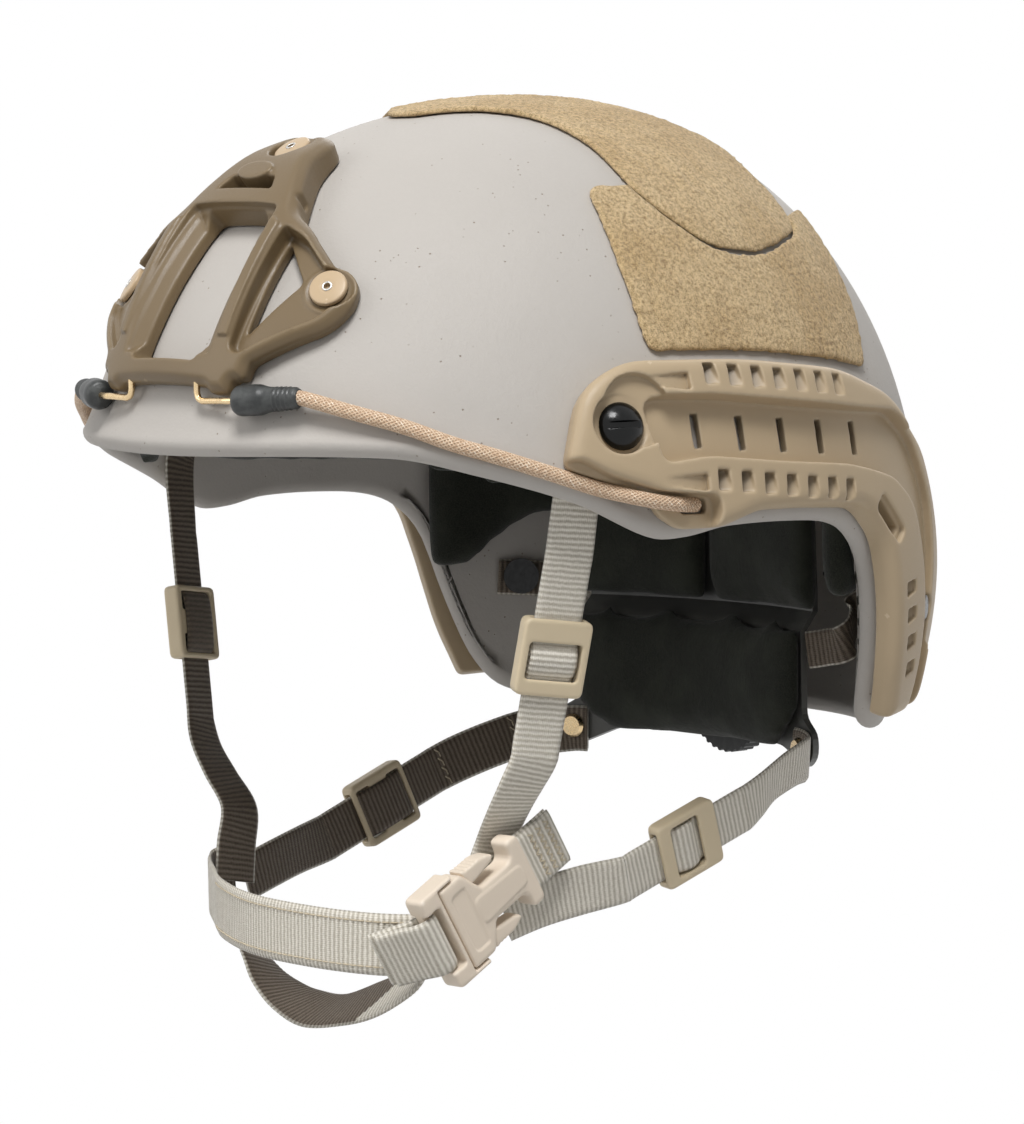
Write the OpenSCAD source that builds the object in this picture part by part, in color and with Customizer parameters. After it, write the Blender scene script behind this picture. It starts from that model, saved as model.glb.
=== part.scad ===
// Combat helmet with a front mounting shroud, side rails, bungees, pads and a four-point chin strap.
// Millimetres. +X is the wearer's left, the face looks along -Y, +Z is up.
// The origin is the centre of the head opening, in the plane of the front brim's lower edge.

/* [Shell] */
// Half width of the outer skin at its widest level
skin_half_w = 120; // [116:0.5:124]
// Reach of the outer skin in front of the centre
skin_front = 144.5; // [141:0.5:148]
// Reach of the outer skin behind the centre
skin_back = 133; // [129:0.5:137]
// Height of the crown above the widest level
skin_rise = 147; // [143:0.5:151]
// Depth of the widest level below the brim plane
skin_mid_depth = 42; // [40:0.5:44]
// Squareness of the skin, 2 is an ellipsoid
skin_power = 2.17; // [2.1:0.01:2.25]
// How far the skin tucks in at its lowest level
skin_tuck = 6; // [4:0.5:7]
// Thickness of the shell wall
shell_wall = 8; // [7:0.25:9]

/* [Fasteners] */
// Diameter of the screw shanks that pass through the shell
shank_d = 4; // [3.5:0.1:4.5]
// Diameter of the shroud's disc screw heads
disc_head_d = 12; // [11:0.5:13]
// Thickness of the disc screw heads
disc_head_h = 2.2; // [1.8:0.1:2.6]
// Diameter of the domed rail screw heads
dome_head_d = 15.6; // [14.6:0.2:16]
// Height of the domed rail screw heads
dome_head_h = 4.4; // [4:0.2:4.8]
// Diameter of the flanges of the nuts inside the shell
nut_flange_d = 12; // [11:0.5:13]
// Thickness of the flanges of the nuts
nut_flange_h = 1.4; // [1.2:0.1:1.8]
// Diameter of the sleeves of the nuts
nut_sleeve_d = 6; // [5.8:0.1:6.4]
// Running clearance between a shank and its nut, on the radius
thread_gap = 0.05; // [0.02:0.01:0.1]
// Clearance round a shank or sleeve in the pieces that it holds, on the radius
hole_gap = 0.3; // [0.2:0.05:0.5]

/* [Shroud] */
// Thickness of the shroud's arms at the foot
shroud_foot_h = 8; // [7.5:0.25:9]
// Thickness of the shroud at the cross bar
shroud_bar_h = 11.6; // [11:0.2:12.4]
// Thickness of the shroud's top tab
shroud_tab_h = 7.7; // [7:0.1:8.2]
// Thickness of the floor round the side screws
shroud_floor_h = 4.2; // [3.6:0.1:4.8]
// Half width of the window at the front face
window_half_w = 22; // [21:0.5:23]
// Width of each step inside the window
window_step_w = 3; // [2.5:0.25:3.5]
// Azimuth of the side screws
side_screw_az = 23.5; // [23:0.25:24]
// Skin level of the side screws
side_screw_z = 46.8; // [46.4:0.2:47.2]
// Skin level of the top screw
top_screw_z = 83.7; // [83.4:0.1:84]

/* [Rails] */
// Thickness of the rail's channel floor
rail_floor_h = 4; // [3.6:0.1:4.4]
// Height of the rail's ledges over the skin
rail_ledge_h = 10; // [9.5:0.25:10.5]
// Height of the rear ledge over the skin
rail_lip_h = 6.6; // [6:0.2:7.2]
// Spacing of the recesses in the ledges
tooth_step = 8.8; // [8.5:0.1:8.9]
// Recesses in each ledge
tooth_count = 7; // [5:1:7]
// Width of each recess
tooth_w = 4.3; // [3.7:0.1:4.9]
// Depth of each recess
tooth_depth = 3.4; // [2.5:0.1:3.8]
// Spacing of the slots in the channel floor
slot_step = 17.3; // [16.5:0.1:17.8]
// Width of each slot
slot_w = 2.8; // [2:0.1:3.5]
// Length of each slot
slot_len = 10.5; // [8:0.5:12]
// Azimuth of the front rail screw
front_bolt_az = 64.2; // [63.5:0.1:65]
// Skin level of the front rail screw
front_bolt_z = 6.2; // [5.5:0.1:7]
// Azimuth of the rear rail screw
rear_bolt_az = 131; // [130:0.25:132]
// Skin level of the rear rail screw
rear_bolt_z = -56; // [-60:0.5:-50]

/* [Bungees] */
// Diameter of the bungee cord
bungee_d = 4.6; // [4.2:0.1:5]
// Diameter of the boot's bulb
boot_d = 9.4; // [9:0.1:9.6]
// Length of the boot
boot_len = 22.5; // [21.5:0.5:23]
// Diameter of the hook wire
hook_wire_d = 2; // [1.6:0.1:2.4]

/* [Loop panels] */
// Thickness of the loop fastener panels
loop_t = 1.6; // [1.2:0.1:2]

/* [Liner] */
// Thickness of the brow pad
brow_pad_t = 10; // [8:0.5:12]
// Thickness of the crown and side pads
pad_t = 13; // [10:0.5:15]
// Thickness of the upper nape pads
upper_nape_pad_t = 10; // [9:0.25:10]
// Thickness of the nape pad
nape_pad_t = 9; // [8:0.25:10]
// Thickness of the nape cradle
cradle_t = 2.4; // [2:0.1:2.4]
// Half width of the nape cradle
cradle_half_w = 54; // [53:0.5:55]

/* [Adjuster] */
// Diameter of the dial over its ribs
dial_d = 36; // [34:0.5:38]
// Thickness of the dial
dial_t = 6.4; // [5.5:0.1:6.6]
// Ribs round the dial
dial_ribs = 36; // [24:2:40]
// Diameter of the dial's shaft
dial_shaft_d = 6; // [5:0.25:8]
// Running clearance of the dial's shaft, on the radius
dial_gap = 0.05; // [0.03:0.01:0.1]
// Diameter of the lace spool
spool_d = 14; // [12:0.5:15]
// Clearance round the lace spool in its housing, on the radius
spool_gap = 0.4; // [0.3:0.05:0.6]

/* [Webbing] */
// Width of the webbing that hangs from the shell and the cradle
strap_w = 15.5; // [15:0.25:16]
// Width of the chin bands and of the buckle's loops
chin_w = 19; // [18:0.5:20]
// Thickness of the chin strap webbing
strap_t = 1.6; // [1.4:0.05:1.7]
// Width of the suspension bands
band_w = 12; // [10:0.5:14]
// Diameter of the suspension laces
lace_d = 1.8; // [1.4:0.1:2.2]

/* [Sliders] */
// Width of a slider
slider_w = 22.6; // [22:0.2:24]
// Length of a slider along the strap
slider_len = 24.4; // [23:0.2:26]
// Thickness of a slider
slider_t = 5.6; // [5:0.1:6]
// Length of the slider's window
slider_window_len = 11; // [10:0.5:13]
// Clearance between a slider and the webbing in it
slider_gap = 0.35; // [0.25:0.05:0.45]

/* [Buckle] */
// Width of the buckle's mouth
buckle_w = 28.4; // [28:0.1:29]
// Length of the closed buckle
buckle_len = 42; // [41:0.5:43]
// Thickness of the buckle
buckle_t = 8.4; // [8:0.1:9]
// Clearance between the buckle's two halves
buckle_gap = 0.3; // [0.2:0.05:0.35]

/* [Hidden] */
$fn = 48;

// Colours
shell_colour = [0.66, 0.62, 0.58];
shroud_colour = [0.50, 0.43, 0.31];
rail_colour = [0.66, 0.57, 0.44];
loop_colour = [0.70, 0.56, 0.35];
pad_colour = [0.12, 0.12, 0.10];
strap_colour = [0.66, 0.61, 0.51];
hardware_colour = [0.78, 0.68, 0.55];
brass_colour = [0.75, 0.55, 0.38];
black_colour = [0.09, 0.10, 0.11];
grey_colour = [0.34, 0.34, 0.33];

// Gaps between pieces that touch: flat seats, hard pieces along the shell, soft pieces along the shell
seat_gap = 0.2;
skin_gap = 0.5;
soft_gap = 0.9;
// Space between the shell and the flange of a nut that clamps webbing
clamp_gap = soft_gap + strap_t + 1;

// Level at which the tuck begins
tuck_level = -10;

// Size of the skin at which the outlines on it are drawn: they follow it when its size changes
drawn_half_w = 120;
drawn_crown = 105;
foot_level = 14;
crown_level = skin_rise - skin_mid_depth;
// Level of a point of an outline on the dome: the foot of the shroud stays, the crown is followed
function lift(z) =
    let (k = (crown_level - foot_level) / (drawn_crown - foot_level))
    z < foot_level ? z : foot_level + (z - foot_level) * k;
function lifted(points) = [for (p = points) [p[0], lift(p[1])]];
// Azimuth of a point of the side that keeps its place along the head when the width changes
function turn(az) = atan2(sin(az) * skin_half_w / drawn_half_w, cos(az));

// Lower edge of the shell: azimuth from the front and height
edge_keys = [
    [0, 0], [34, 0], [46, -6], [59, -15], [70, -26], [76, -26.5], [84, -24], [98, -24],
    [106, -26], [111, -31], [115, -41], [118.5, -62], [122.5, -82], [127.5, -93], [137, -97], [180, -98]
];
edge_cols = concat(
    [for (a = [0:7.5:52.5]) a],
    [for (a = [58:4.5:103]) a],
    [for (a = [106:2:126]) a],
    [for (a = [131:7:173]) a]
);
shell_rows = 11;
crown_angle = 83;

// Thickness of the shroud by level
shroud_keys = [
    [lift(14), shroud_foot_h - 2],
    [lift(22), shroud_foot_h - 0.6],
    [lift(30), shroud_foot_h],
    [lift(52), (shroud_foot_h + shroud_bar_h) / 2],
    [lift(73), shroud_bar_h],
    [lift(80), shroud_bar_h],
    [lift(87), shroud_tab_h + 1.2],
    [lift(99), shroud_tab_h]
];
// Share of that thickness by azimuth
shroud_fall = [[0, 1], [13, 1], [22, 0.84], [36, 0.62], [42, 0.6]];

// Route of a bungee: azimuth, level and offset from the skin
bungee_keys_z = [
    [20, 16.4], [23, 15.9], [29.5, 12.2], [36, 8.2], [42, 3.2], [48, -1], [54.6, -6], [61, -11],
    [68.7, -15.6], [76, -17]
];
bungee_rest = bungee_d / 2 + soft_gap;
bungee_over = rail_floor_h + bungee_d / 2 + 0.4;
bungee_keys_d = [
    [20, 6], [25, 5], [31, bungee_rest + 0.8], [38, bungee_rest], [61, bungee_rest],
    [66.5, bungee_over], [71.5, bungee_over], [76, rail_floor_h - 1.2]
];
bungee_start = 21.4;
bungee_end = 76;
bungee_rings = 28;

// Hook at the shroud's foot
hook_x = 16.5;
hook_out_x = 33.5;
hook_z = 16.4;
hook_rest = boot_d / 2 + soft_gap + 1;
hook_y = -reach(hook_out_x, hook_z, skin_front, skin_half_w, 0) - hook_rest;
hook_leg = 7;

// Nape cradle: arcs round an upright axis in front of the head
nape_axis_y = -81;
nape_pad_front = 75 - nape_axis_y;
upper_pad_front = 79 - nape_axis_y;
cradle_low_r = nape_pad_front + nape_pad_t + seat_gap;
cradle_high_r = upper_pad_front + upper_nape_pad_t + seat_gap;
cradle_bottom = -104;
cradle_step_low = -66;
cradle_step_high = -60;
cradle_top = -14;
nape_pad_bottom = -106;
nape_pad_top = -63;
upper_pad_bottom = -60;
upper_pad_top = -12;
stud_d = 8;
stud_shank_d = 3;

// Dial
dial_z = -92.5;
housing_t = 4.6;
housing_half_w = 22;
housing_y = nape_axis_y + cradle_low_r + cradle_t + seat_gap;
dial_y = housing_y + housing_t + seat_gap;

// Chin strap routes on the wearer's left; each has one straight stretch for its slider
front_slide = [[94.5, -59.7, -38], [84.5, -62.8, -86]];
rear_slide = [[76.2, 25, -118.6], [74.2, -15, -133.2]];
function on_line(ends, t) = ends[0] + t * (ends[1] - ends[0]);
front_span = [0.35, 0.94, 0];
rear_span = [0.13, -0.25, 0.95];
function under_nut(az, z) =
    skin(turn(front_bolt_az) + az, front_bolt_z + z, -shell_wall - soft_gap - 0.5 - strap_t / 2);
front_route = concat(
    [under_nut(1, 11), under_nut(-0.6, -3.5), under_nut(-3.4, -14)],
    [for (t = [-0.15, 0, 1, 1.15]) on_line(front_slide, t)],
    [[78.6, -64.4, -101], [71.9, -64.1, -109.6], [64, -63, -120], [61.4, -66.4, -132], [59.6, -68.6, -143]]
);
front_spans = concat(
    [for (z = [11, -3.5, -14]) skin_across(turn(front_bolt_az), front_bolt_z + z)],
    [for (i = [0:3]) front_span],
    [[0.3, 0.95, 0], [0.2, 0.97, 0], [0.1, 0.99, 0], [0, 1, 0.06], [0, 1, 0.1]]
);
ear_x = 56;
ear_z = -104;
ear_r = 6.5;
function ear_y(r) = nape_axis_y + sqrt(r * r - ear_x * ear_x);
ear_turn = asin(ear_x / cradle_low_r);
function on_ear(u, v, in = 0) =
    [ear_x, ear_y(cradle_low_r), ear_z + v] + u * [cos(ear_turn), -sin(ear_turn), 0]
        - (2 * seat_gap + strap_t / 2 + in) * [sin(ear_turn), cos(ear_turn), 0];
rear_route = concat(
    [on_ear(-5, -1), on_ear(0, -1), on_ear(7, -1.8, 1)],
    [[67, 61.5, -106.4], [70.6, 49, -109.6], [74.6, 38, -113.6]],
    [for (t = [-0.12, 0, 1, 1.12]) on_line(rear_slide, t)],
    [[70, -34, -137.2], [66.6, -47.6, -140], [64.8, -60, -143.4]]
);
rear_spans = concat(
    [[0, 0, 1], [0, 0, 1], [0.1, 0, 1], [0.24, 0, 1], [0.26, 0, 0.95], [0.22, -0.2, 0.95]],
    [for (t = [0:3]) rear_span],
    [[0, -0.2, 0.98], [0, -0.18, 0.98], [0, -0.18, 0.98]]
);

// Chin bands
upper_chin_route = [
    [64.6, -72, -148.6], [65, -84, -149], [61.8, -94, -148.6], [51.4, -102.8, -148.2], [30, -108, -147.6],
    [0, -107, -147], [-28, -97.5, -146], [-46, -87, -144.6], [-57.6, -79.8, -143.4], [-64.6, -73.4, -142.2],
    [-67.4, -63.4, -141.2]
];
upper_chin_spans = [for (i = [0:10]) [0, i < 2 ? 0.2 : 0, 1]];
lower_chin_route = [
    [58.6, -81, -153.6], [52.6, -82, -159], [38.6, -82.6, -166.6], [22.5, -82.6, -172], [3, -82, -176.4],
    [-12.6, -81, -174.7], [-23.2, -80.5, -170.8], [-31.4, -80, -165.6], [-37.6, -80, -159.4],
    [-41, -79.8, -150]
];
lower_chin_spans = [
    [0.3, 0.55, 0.6], [0.33, 0.53, 0.7], [0.3, 0.6, 0.7], [0.25, 0.7, 0.65], [0.05, 0.88, 0.45],
    [-0.2, 0.93, 0.25], [-0.33, 0.93, 0.1], [-0.5, 0.85, 0], [-0.6, 0.8, 0], [-0.65, 0.76, 0]
];

// Buckle: its centre and the tilt of its axis, the space for the webbing at its two ends
web_half_w = chin_w / 2 + 0.7;
web_recess = 2.4;
buckle_at = [72.5, -77.3, -136.9];
buckle_tilt = 30.1;
mouth_x = -13;
mouth_depth = 10;
cavity_half_w = 12.4;
cavity_half_t = 1.8;
spine_half_w = 5.8;
prong_y = 8.5;

// Small vector helpers
function unit(v) = v / norm(v);
function spow(v, e) = (v < 0 ? -1 : 1) * pow(abs(v), e);

// A smooth value through keys [position, value]
function key_slope(k, i) =
    i == 0 || i == len(k) - 1 ? 0 : (k[i + 1][1] - k[i - 1][1]) / (k[i + 1][0] - k[i - 1][0]);
function key_index(k, t, i = 0) = i >= len(k) - 2 || t < k[i + 1][0] ? i : key_index(k, t, i + 1);
function curve(k, t) =
    let (i = key_index(k, t))
    let (h = k[i + 1][0] - k[i][0])
    let (s = min(1, max(0, (t - k[i][0]) / h)))
    let (a = 2 * pow(s, 3) - 3 * pow(s, 2))
    let (b = pow(s, 3) - 2 * pow(s, 2) + s)
    let (c = pow(s, 3) - pow(s, 2))
    (a + 1) * k[i][1] + b * h * key_slope(k, i) - a * k[i + 1][1] + c * h * key_slope(k, i + 1);

// A point at s on the smooth line through a list of points, one unit of s for each point
function along(p, s) =
    let (i = min(len(p) - 2, max(0, floor(s))))
    let (u = s - i)
    let (a = p[max(0, i - 1)], b = p[i], c = p[i + 1], d = p[min(len(p) - 1, i + 2)])
    b + 0.5 * u * (c - a + u * (2 * a - 5 * b + 4 * c - d + u * (3 * (b - c) + d - a)));

// A point at s on the bend from p to q round the corner b
function bend(p, b, q, s) = (1 - s) * (1 - s) * p + 2 * s * (1 - s) * b + s * s * q;

// An outline from corners [u, v, setback], each corner rounded from its setback
function rounded(c, k = 3) = [
    for (i = [0:len(c) - 1])
    let (n = len(c), b = [c[i][0], c[i][1]])
    let (a = [c[(i + n - 1) % n][0], c[(i + n - 1) % n][1]])
    let (d = [c[(i + 1) % n][0], c[(i + 1) % n][1]])
    let (r = min(c[i][2], 0.48 * norm(a - b), 0.48 * norm(d - b)))
    let (p = b + r * unit(a - b), q = b + r * unit(d - b))
    each r > 0 ? [for (j = [0:k]) bend(p, b, q, j / k)] : [b]
];
function mirrored(c) = concat(c, [for (i = [len(c) - 1:-1:0]) [-c[i][0], c[i][1], c[i][2]]]);

// The outer skin: a point at an azimuth from the front and a level, moved out by an offset
function skin_width(z) =
    let (s = max(0, tuck_level - z) / (tuck_level + 97))
    pow(max(0, 1 - pow(abs(z + skin_mid_depth) / skin_rise, skin_power)), 1 / skin_power)
        * (1 - skin_tuck / skin_half_w * s * s);
function skin_depth(az) = cos(az) > 0 ? skin_front : skin_back;
function skin_reach(az) =
    1 / pow(
        pow(abs(sin(az)) / skin_half_w, skin_power) + pow(abs(cos(az)) / skin_depth(az), skin_power),
        1 / skin_power
    );
function skin_base(az, z) =
    let (r = skin_width(z) * skin_reach(az))
    [r * sin(az), -r * cos(az), z];
function skin_normal(az, z) =
    let (p = skin_base(az, z), e = skin_power - 1)
    unit([
        spow(p.x, e) / pow(skin_half_w, skin_power),
        spow(p.y, e) / pow(skin_depth(az), skin_power),
        spow(z + skin_mid_depth, e) / pow(skin_rise, skin_power)
    ]);
function skin(az, z, d) = skin_base(az, z) + d * skin_normal(az, z);
function skin_across(az, z) = let (v = skin_normal(az, z)) unit([-v.y, v.x, 0]);
function skin_up(az, z) = cross(skin_normal(az, z), skin_across(az, z));

// Levels at even steps over the curve of the skin
function tier(f) = -skin_mid_depth + skin_rise * spow(sin(f), 2 / skin_power);
function tier_angle(z) = asin(spow((z + skin_mid_depth) / skin_rise, skin_power / 2));

// A plain offset, or an offset worked out from the azimuth and the level
function offset_at(d, az, z) = is_function(d) ? d(az, z) : d;

// Children stood on the skin, their Z along the skin's normal
module on_skin(az, z, d = 0) {
    v = skin_normal(az, z);
    translate(skin(az, z, d))
        rotate([0, acos(v.z), atan2(v.y, v.x)])
            children();
}

// A solid between two grids of points; rows run round the head, columns run up
module grid_solid(a, b) {
    m = len(a);
    n = len(a[0]);
    points = [for (g = [a, b]) for (row = g) for (p = row) p];
    function at(s, i, j) = s * m * n + i * n + j;
    faces = concat(
        [
            for (i = [0:m - 2]) for (j = [0:n - 2])
            [at(0, i, j), at(0, i, j + 1), at(0, i + 1, j + 1), at(0, i + 1, j)]
        ],
        [
            for (i = [0:m - 2]) for (j = [0:n - 2])
            [at(1, i, j), at(1, i + 1, j), at(1, i + 1, j + 1), at(1, i, j + 1)]
        ],
        [for (i = [0:m - 2]) [at(0, i, 0), at(0, i + 1, 0), at(1, i + 1, 0), at(1, i, 0)]],
        [for (i = [0:m - 2]) [at(0, i + 1, n - 1), at(0, i, n - 1), at(1, i, n - 1), at(1, i + 1, n - 1)]],
        [for (j = [0:n - 2]) [at(0, 0, j + 1), at(0, 0, j), at(1, 0, j), at(1, 0, j + 1)]],
        [for (j = [0:n - 2]) [at(0, m - 1, j), at(0, m - 1, j + 1), at(1, m - 1, j + 1), at(1, m - 1, j)]]
    );
    polyhedron(points, [for (q = faces) each [[q[0], q[1], q[2]], [q[0], q[2], q[3]]]]);
}

// A slab that follows the skin between two offsets
module skin_slab(az, z, steps, d_in, d_out) {
    f0 = tier_angle(z[0]);
    f1 = tier_angle(z[1]);
    azs = [for (i = [0:steps[0]]) az[0] + (az[1] - az[0]) * i / steps[0]];
    zs = [for (j = [0:steps[1]]) tier(f0 + (f1 - f0) * j / steps[1])];
    grid_solid(
        [for (a = azs) [for (h = zs) skin(a, h, offset_at(d_out, a, h))]],
        [for (a = azs) [for (h = zs) skin(a, h, offset_at(d_in, a, h))]]
    );
}

// A pad under the shell: full in the middle, drawn in at its edge, its lower edge given by azimuth
function swell(u, v) = pow(1 - pow(abs(2 * u - 1), 8), 0.5) * pow(1 - pow(abs(2 * v - 1), 6), 0.5);
module shell_pad(az, low, top, steps, t) {
    rim = 0.3;
    draw_in = 1.3;
    back = -shell_wall - soft_gap;
    function spot(i, j, depth) =
        let (a = az[0] + (az[1] - az[0]) * i / steps[0], foot = curve(low, abs(a)))
        skin(a, foot + (top - foot) * j / steps[1], back - depth(swell(i / steps[0], j / steps[1])));
    function grid(depth) = [for (i = [0:steps[0]]) [for (j = [0:steps[1]]) spot(i, j, depth)]];
    grid_solid(grid(function(s) draw_in * (1 - s)), grid(function(s) t * (rim + (1 - rim) * s)));
}

// A solid along a list of rings, each ring turning anticlockwise about the way it travels
module ring_solid(rings) {
    n = len(rings[0]);
    k = len(rings) - 1;
    points = [for (r = rings) for (p = r) p];
    sides = [
        for (i = [0:k - 1]) for (j = [0:n - 1])
        let (a = i * n + j, b = i * n + (j + 1) % n)
        each [[a, a + n, b + n], [a, b + n, b]]
    ];
    start = [for (j = [1:n - 2]) [0, j, j + 1]];
    end = [for (j = [1:n - 2]) [k * n, k * n + j + 1, k * n + j]];
    polyhedron(points, concat(sides, start, end));
}

// Flat webbing along a route, with the direction of its width at each route point
module ribbon(route, spans, w, t, steps = 3) {
    last = len(route) - 1;
    ring_solid([
        for (i = [0:last * steps])
        let (s = i / steps)
        let (ahead = along(route, min(last, s + 0.05)), behind = along(route, max(0, s - 0.05)))
        let (way = unit(ahead - behind), span = along(spans, s))
        let (side = unit(span - (span * way) * way))
        let (face = cross(way, side), p = along(route, s))
        [
            p + side * w / 2 + face * t / 2, p - side * w / 2 + face * t / 2,
            p - side * w / 2 - face * t / 2, p + side * w / 2 - face * t / 2
        ]
    ]);
}

// A round cord along a list of points
module cord(points, d, sides = 8, lean = [0, 0, 1]) {
    last = len(points) - 1;
    ring_solid([
        for (i = [0:last])
        let (way = unit(points[min(last, i + 1)] - points[max(0, i - 1)]))
        let (side = unit(cross(lean, way)))
        let (up = cross(way, side))
        [
            for (j = [0:sides - 1])
            let (a = 360 * j / sides)
            points[i] + d / 2 * (side * cos(a) + up * sin(a))
        ]
    ]);
}

// A straight round rod between two points
module rod(p, q, d) {
    v = q - p;
    translate(p)
        rotate([0, acos(v.z / norm(v)), atan2(v.y, v.x)])
            cylinder(d = d, h = norm(v));
}

// An outline seen from the side, carried through X
module side_prism(points, x = [60, 160]) {
    translate([x[0], 0, 0])
        rotate([90, 0, 90])
            linear_extrude(x[1] - x[0])
                polygon(points);
}

// An outline seen from the front, carried through Y
module front_prism(points, y = [-170, -40]) {
    translate([0, y[1], 0])
        rotate([90, 0, 0])
            linear_extrude(y[1] - y[0])
                polygon(points);
}

// Reach of the skin from the centre plane at two other coordinates, raised by an offset
function reach(u, v, a, b, d) =
    let (c = skin_rise + d, e = skin_power)
    let (w = 1 - pow(abs(u) / (b + d), e) - pow(abs(v + skin_mid_depth) / c, e))
    (a + d) * pow(max(0.001, w), 1 / e);

// An outline on the front of the skin, its walls drawn in towards a point inside the head
front_eye = [0, -29, -8];
module front_wedge(points, d = 8) {
    near = 28;
    far = 146;
    flat = [
        for (p = points)
        let (z = lift(p[1]), y = -reach(p[0], z, skin_front, skin_half_w, d))
        let (k = near / (front_eye.y - y))
        [(p[0] - front_eye.x) * k, (z - front_eye.z) * k]
    ];
    translate([front_eye.x, front_eye.y - near, front_eye.z])
        rotate([90, 0, 0])
            linear_extrude(far - near, scale = far / near)
                polygon(flat);
}

// An outline on the left of the skin, its walls drawn in towards a point inside the head
side_eye = [-30, 0, -38];
module side_wedge(points, d = 9) {
    near = 80;
    far = 185;
    flat = [
        for (p = points)
        let (x = reach(p[0], p[1], skin_half_w, p[0] < 0 ? skin_front : skin_back, d))
        let (k = near / (x - side_eye.x))
        [(p[0] - side_eye.y) * k, (p[1] - side_eye.z) * k]
    ];
    translate([side_eye.x + near, side_eye.y, side_eye.z])
        rotate([90, 0, 90])
            linear_extrude(far - near, scale = far / near)
                polygon(flat);
}

module on_right() {
    mirror([1, 0, 0])
        children();
}

// Places of the screws: azimuth and level
shroud_bolts = [
    [0, lift(top_screw_z)], [side_screw_az, lift(side_screw_z)], [-side_screw_az, lift(side_screw_z)]
];
rail_bolts = [
    [turn(front_bolt_az), front_bolt_z], [turn(rear_bolt_az), rear_bolt_z],
    [-turn(front_bolt_az), front_bolt_z], [-turn(rear_bolt_az), rear_bolt_z]
];

// Shell
function shell_column(az) =
    let (r = shell_wall / 2, z = curve(edge_keys, abs(az)))
    let (ahead = skin(az + 1, curve(edge_keys, abs(az + 1)), -r))
    let (behind = skin(az - 1, curve(edge_keys, abs(az - 1)), -r))
    let (out = skin_normal(az, z), way = unit(ahead - behind))
    let (down = cross(way, out), mid = skin(az, z, -r) - r * cross(way, out))
    let (f1 = tier_angle(z + 6))
    let (levels = [for (j = [0:shell_rows - 1]) tier(crown_angle + (f1 - crown_angle) * j / shell_rows)])
    concat(
        [for (z = levels) skin(az, z, 0)],
        [for (a = [0:45:180]) mid + r * (out * cos(a) + down * sin(a))],
        [for (j = [shell_rows - 1:-1:0]) skin(az, levels[j], -shell_wall)]
    );
module shell() {
    azs = concat(edge_cols, [180], [for (i = [len(edge_cols) - 1:-1:1]) -edge_cols[i]]);
    columns = [for (a = azs) shell_column(a)];
    n = len(azs);
    k = len(columns[0]);
    points = concat(
        [for (j = [0:k - 1]) for (c = columns) c[j]],
        [[0, 0, crown_level], [0, 0, crown_level - shell_wall]]
    );
    sides = [
        for (j = [0:k - 2]) for (i = [0:n - 1])
        let (a = j * n + i, b = j * n + (i + 1) % n)
        each [[a, b, b + n], [a, b + n, a + n]]
    ];
    top = [for (i = [0:n - 1]) [k * n, (i + 1) % n, i]];
    under = [for (i = [0:n - 1]) [k * n + 1, (k - 1) * n + i, (k - 1) * n + (i + 1) % n]];
    color(shell_colour)
        difference() {
            polyhedron(points, concat(sides, top, under));
            for (b = concat(shroud_bolts, rail_bolts))
                on_skin(b[0], b[1], -shell_wall - 2)
                    cylinder(d = nut_sleeve_d + 2 * hole_gap, h = shell_wall + 4);
        }
}

// Nut: a flanged sleeve pushed through the shell from inside, its flange a space below the shell
module nut(space) {
    top = shell_wall - 1;
    difference() {
        union() {
            translate([0, 0, -nut_flange_h - space])
                cylinder(d = nut_flange_d, h = nut_flange_h);
            translate([0, 0, -nut_flange_h - space])
                cylinder(d = nut_sleeve_d, h = nut_flange_h + space + top);
        }
        translate([0, 0, -space])
            cylinder(d = shank_d + 2 * thread_gap, h = space + top + 1);
    }
}

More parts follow.
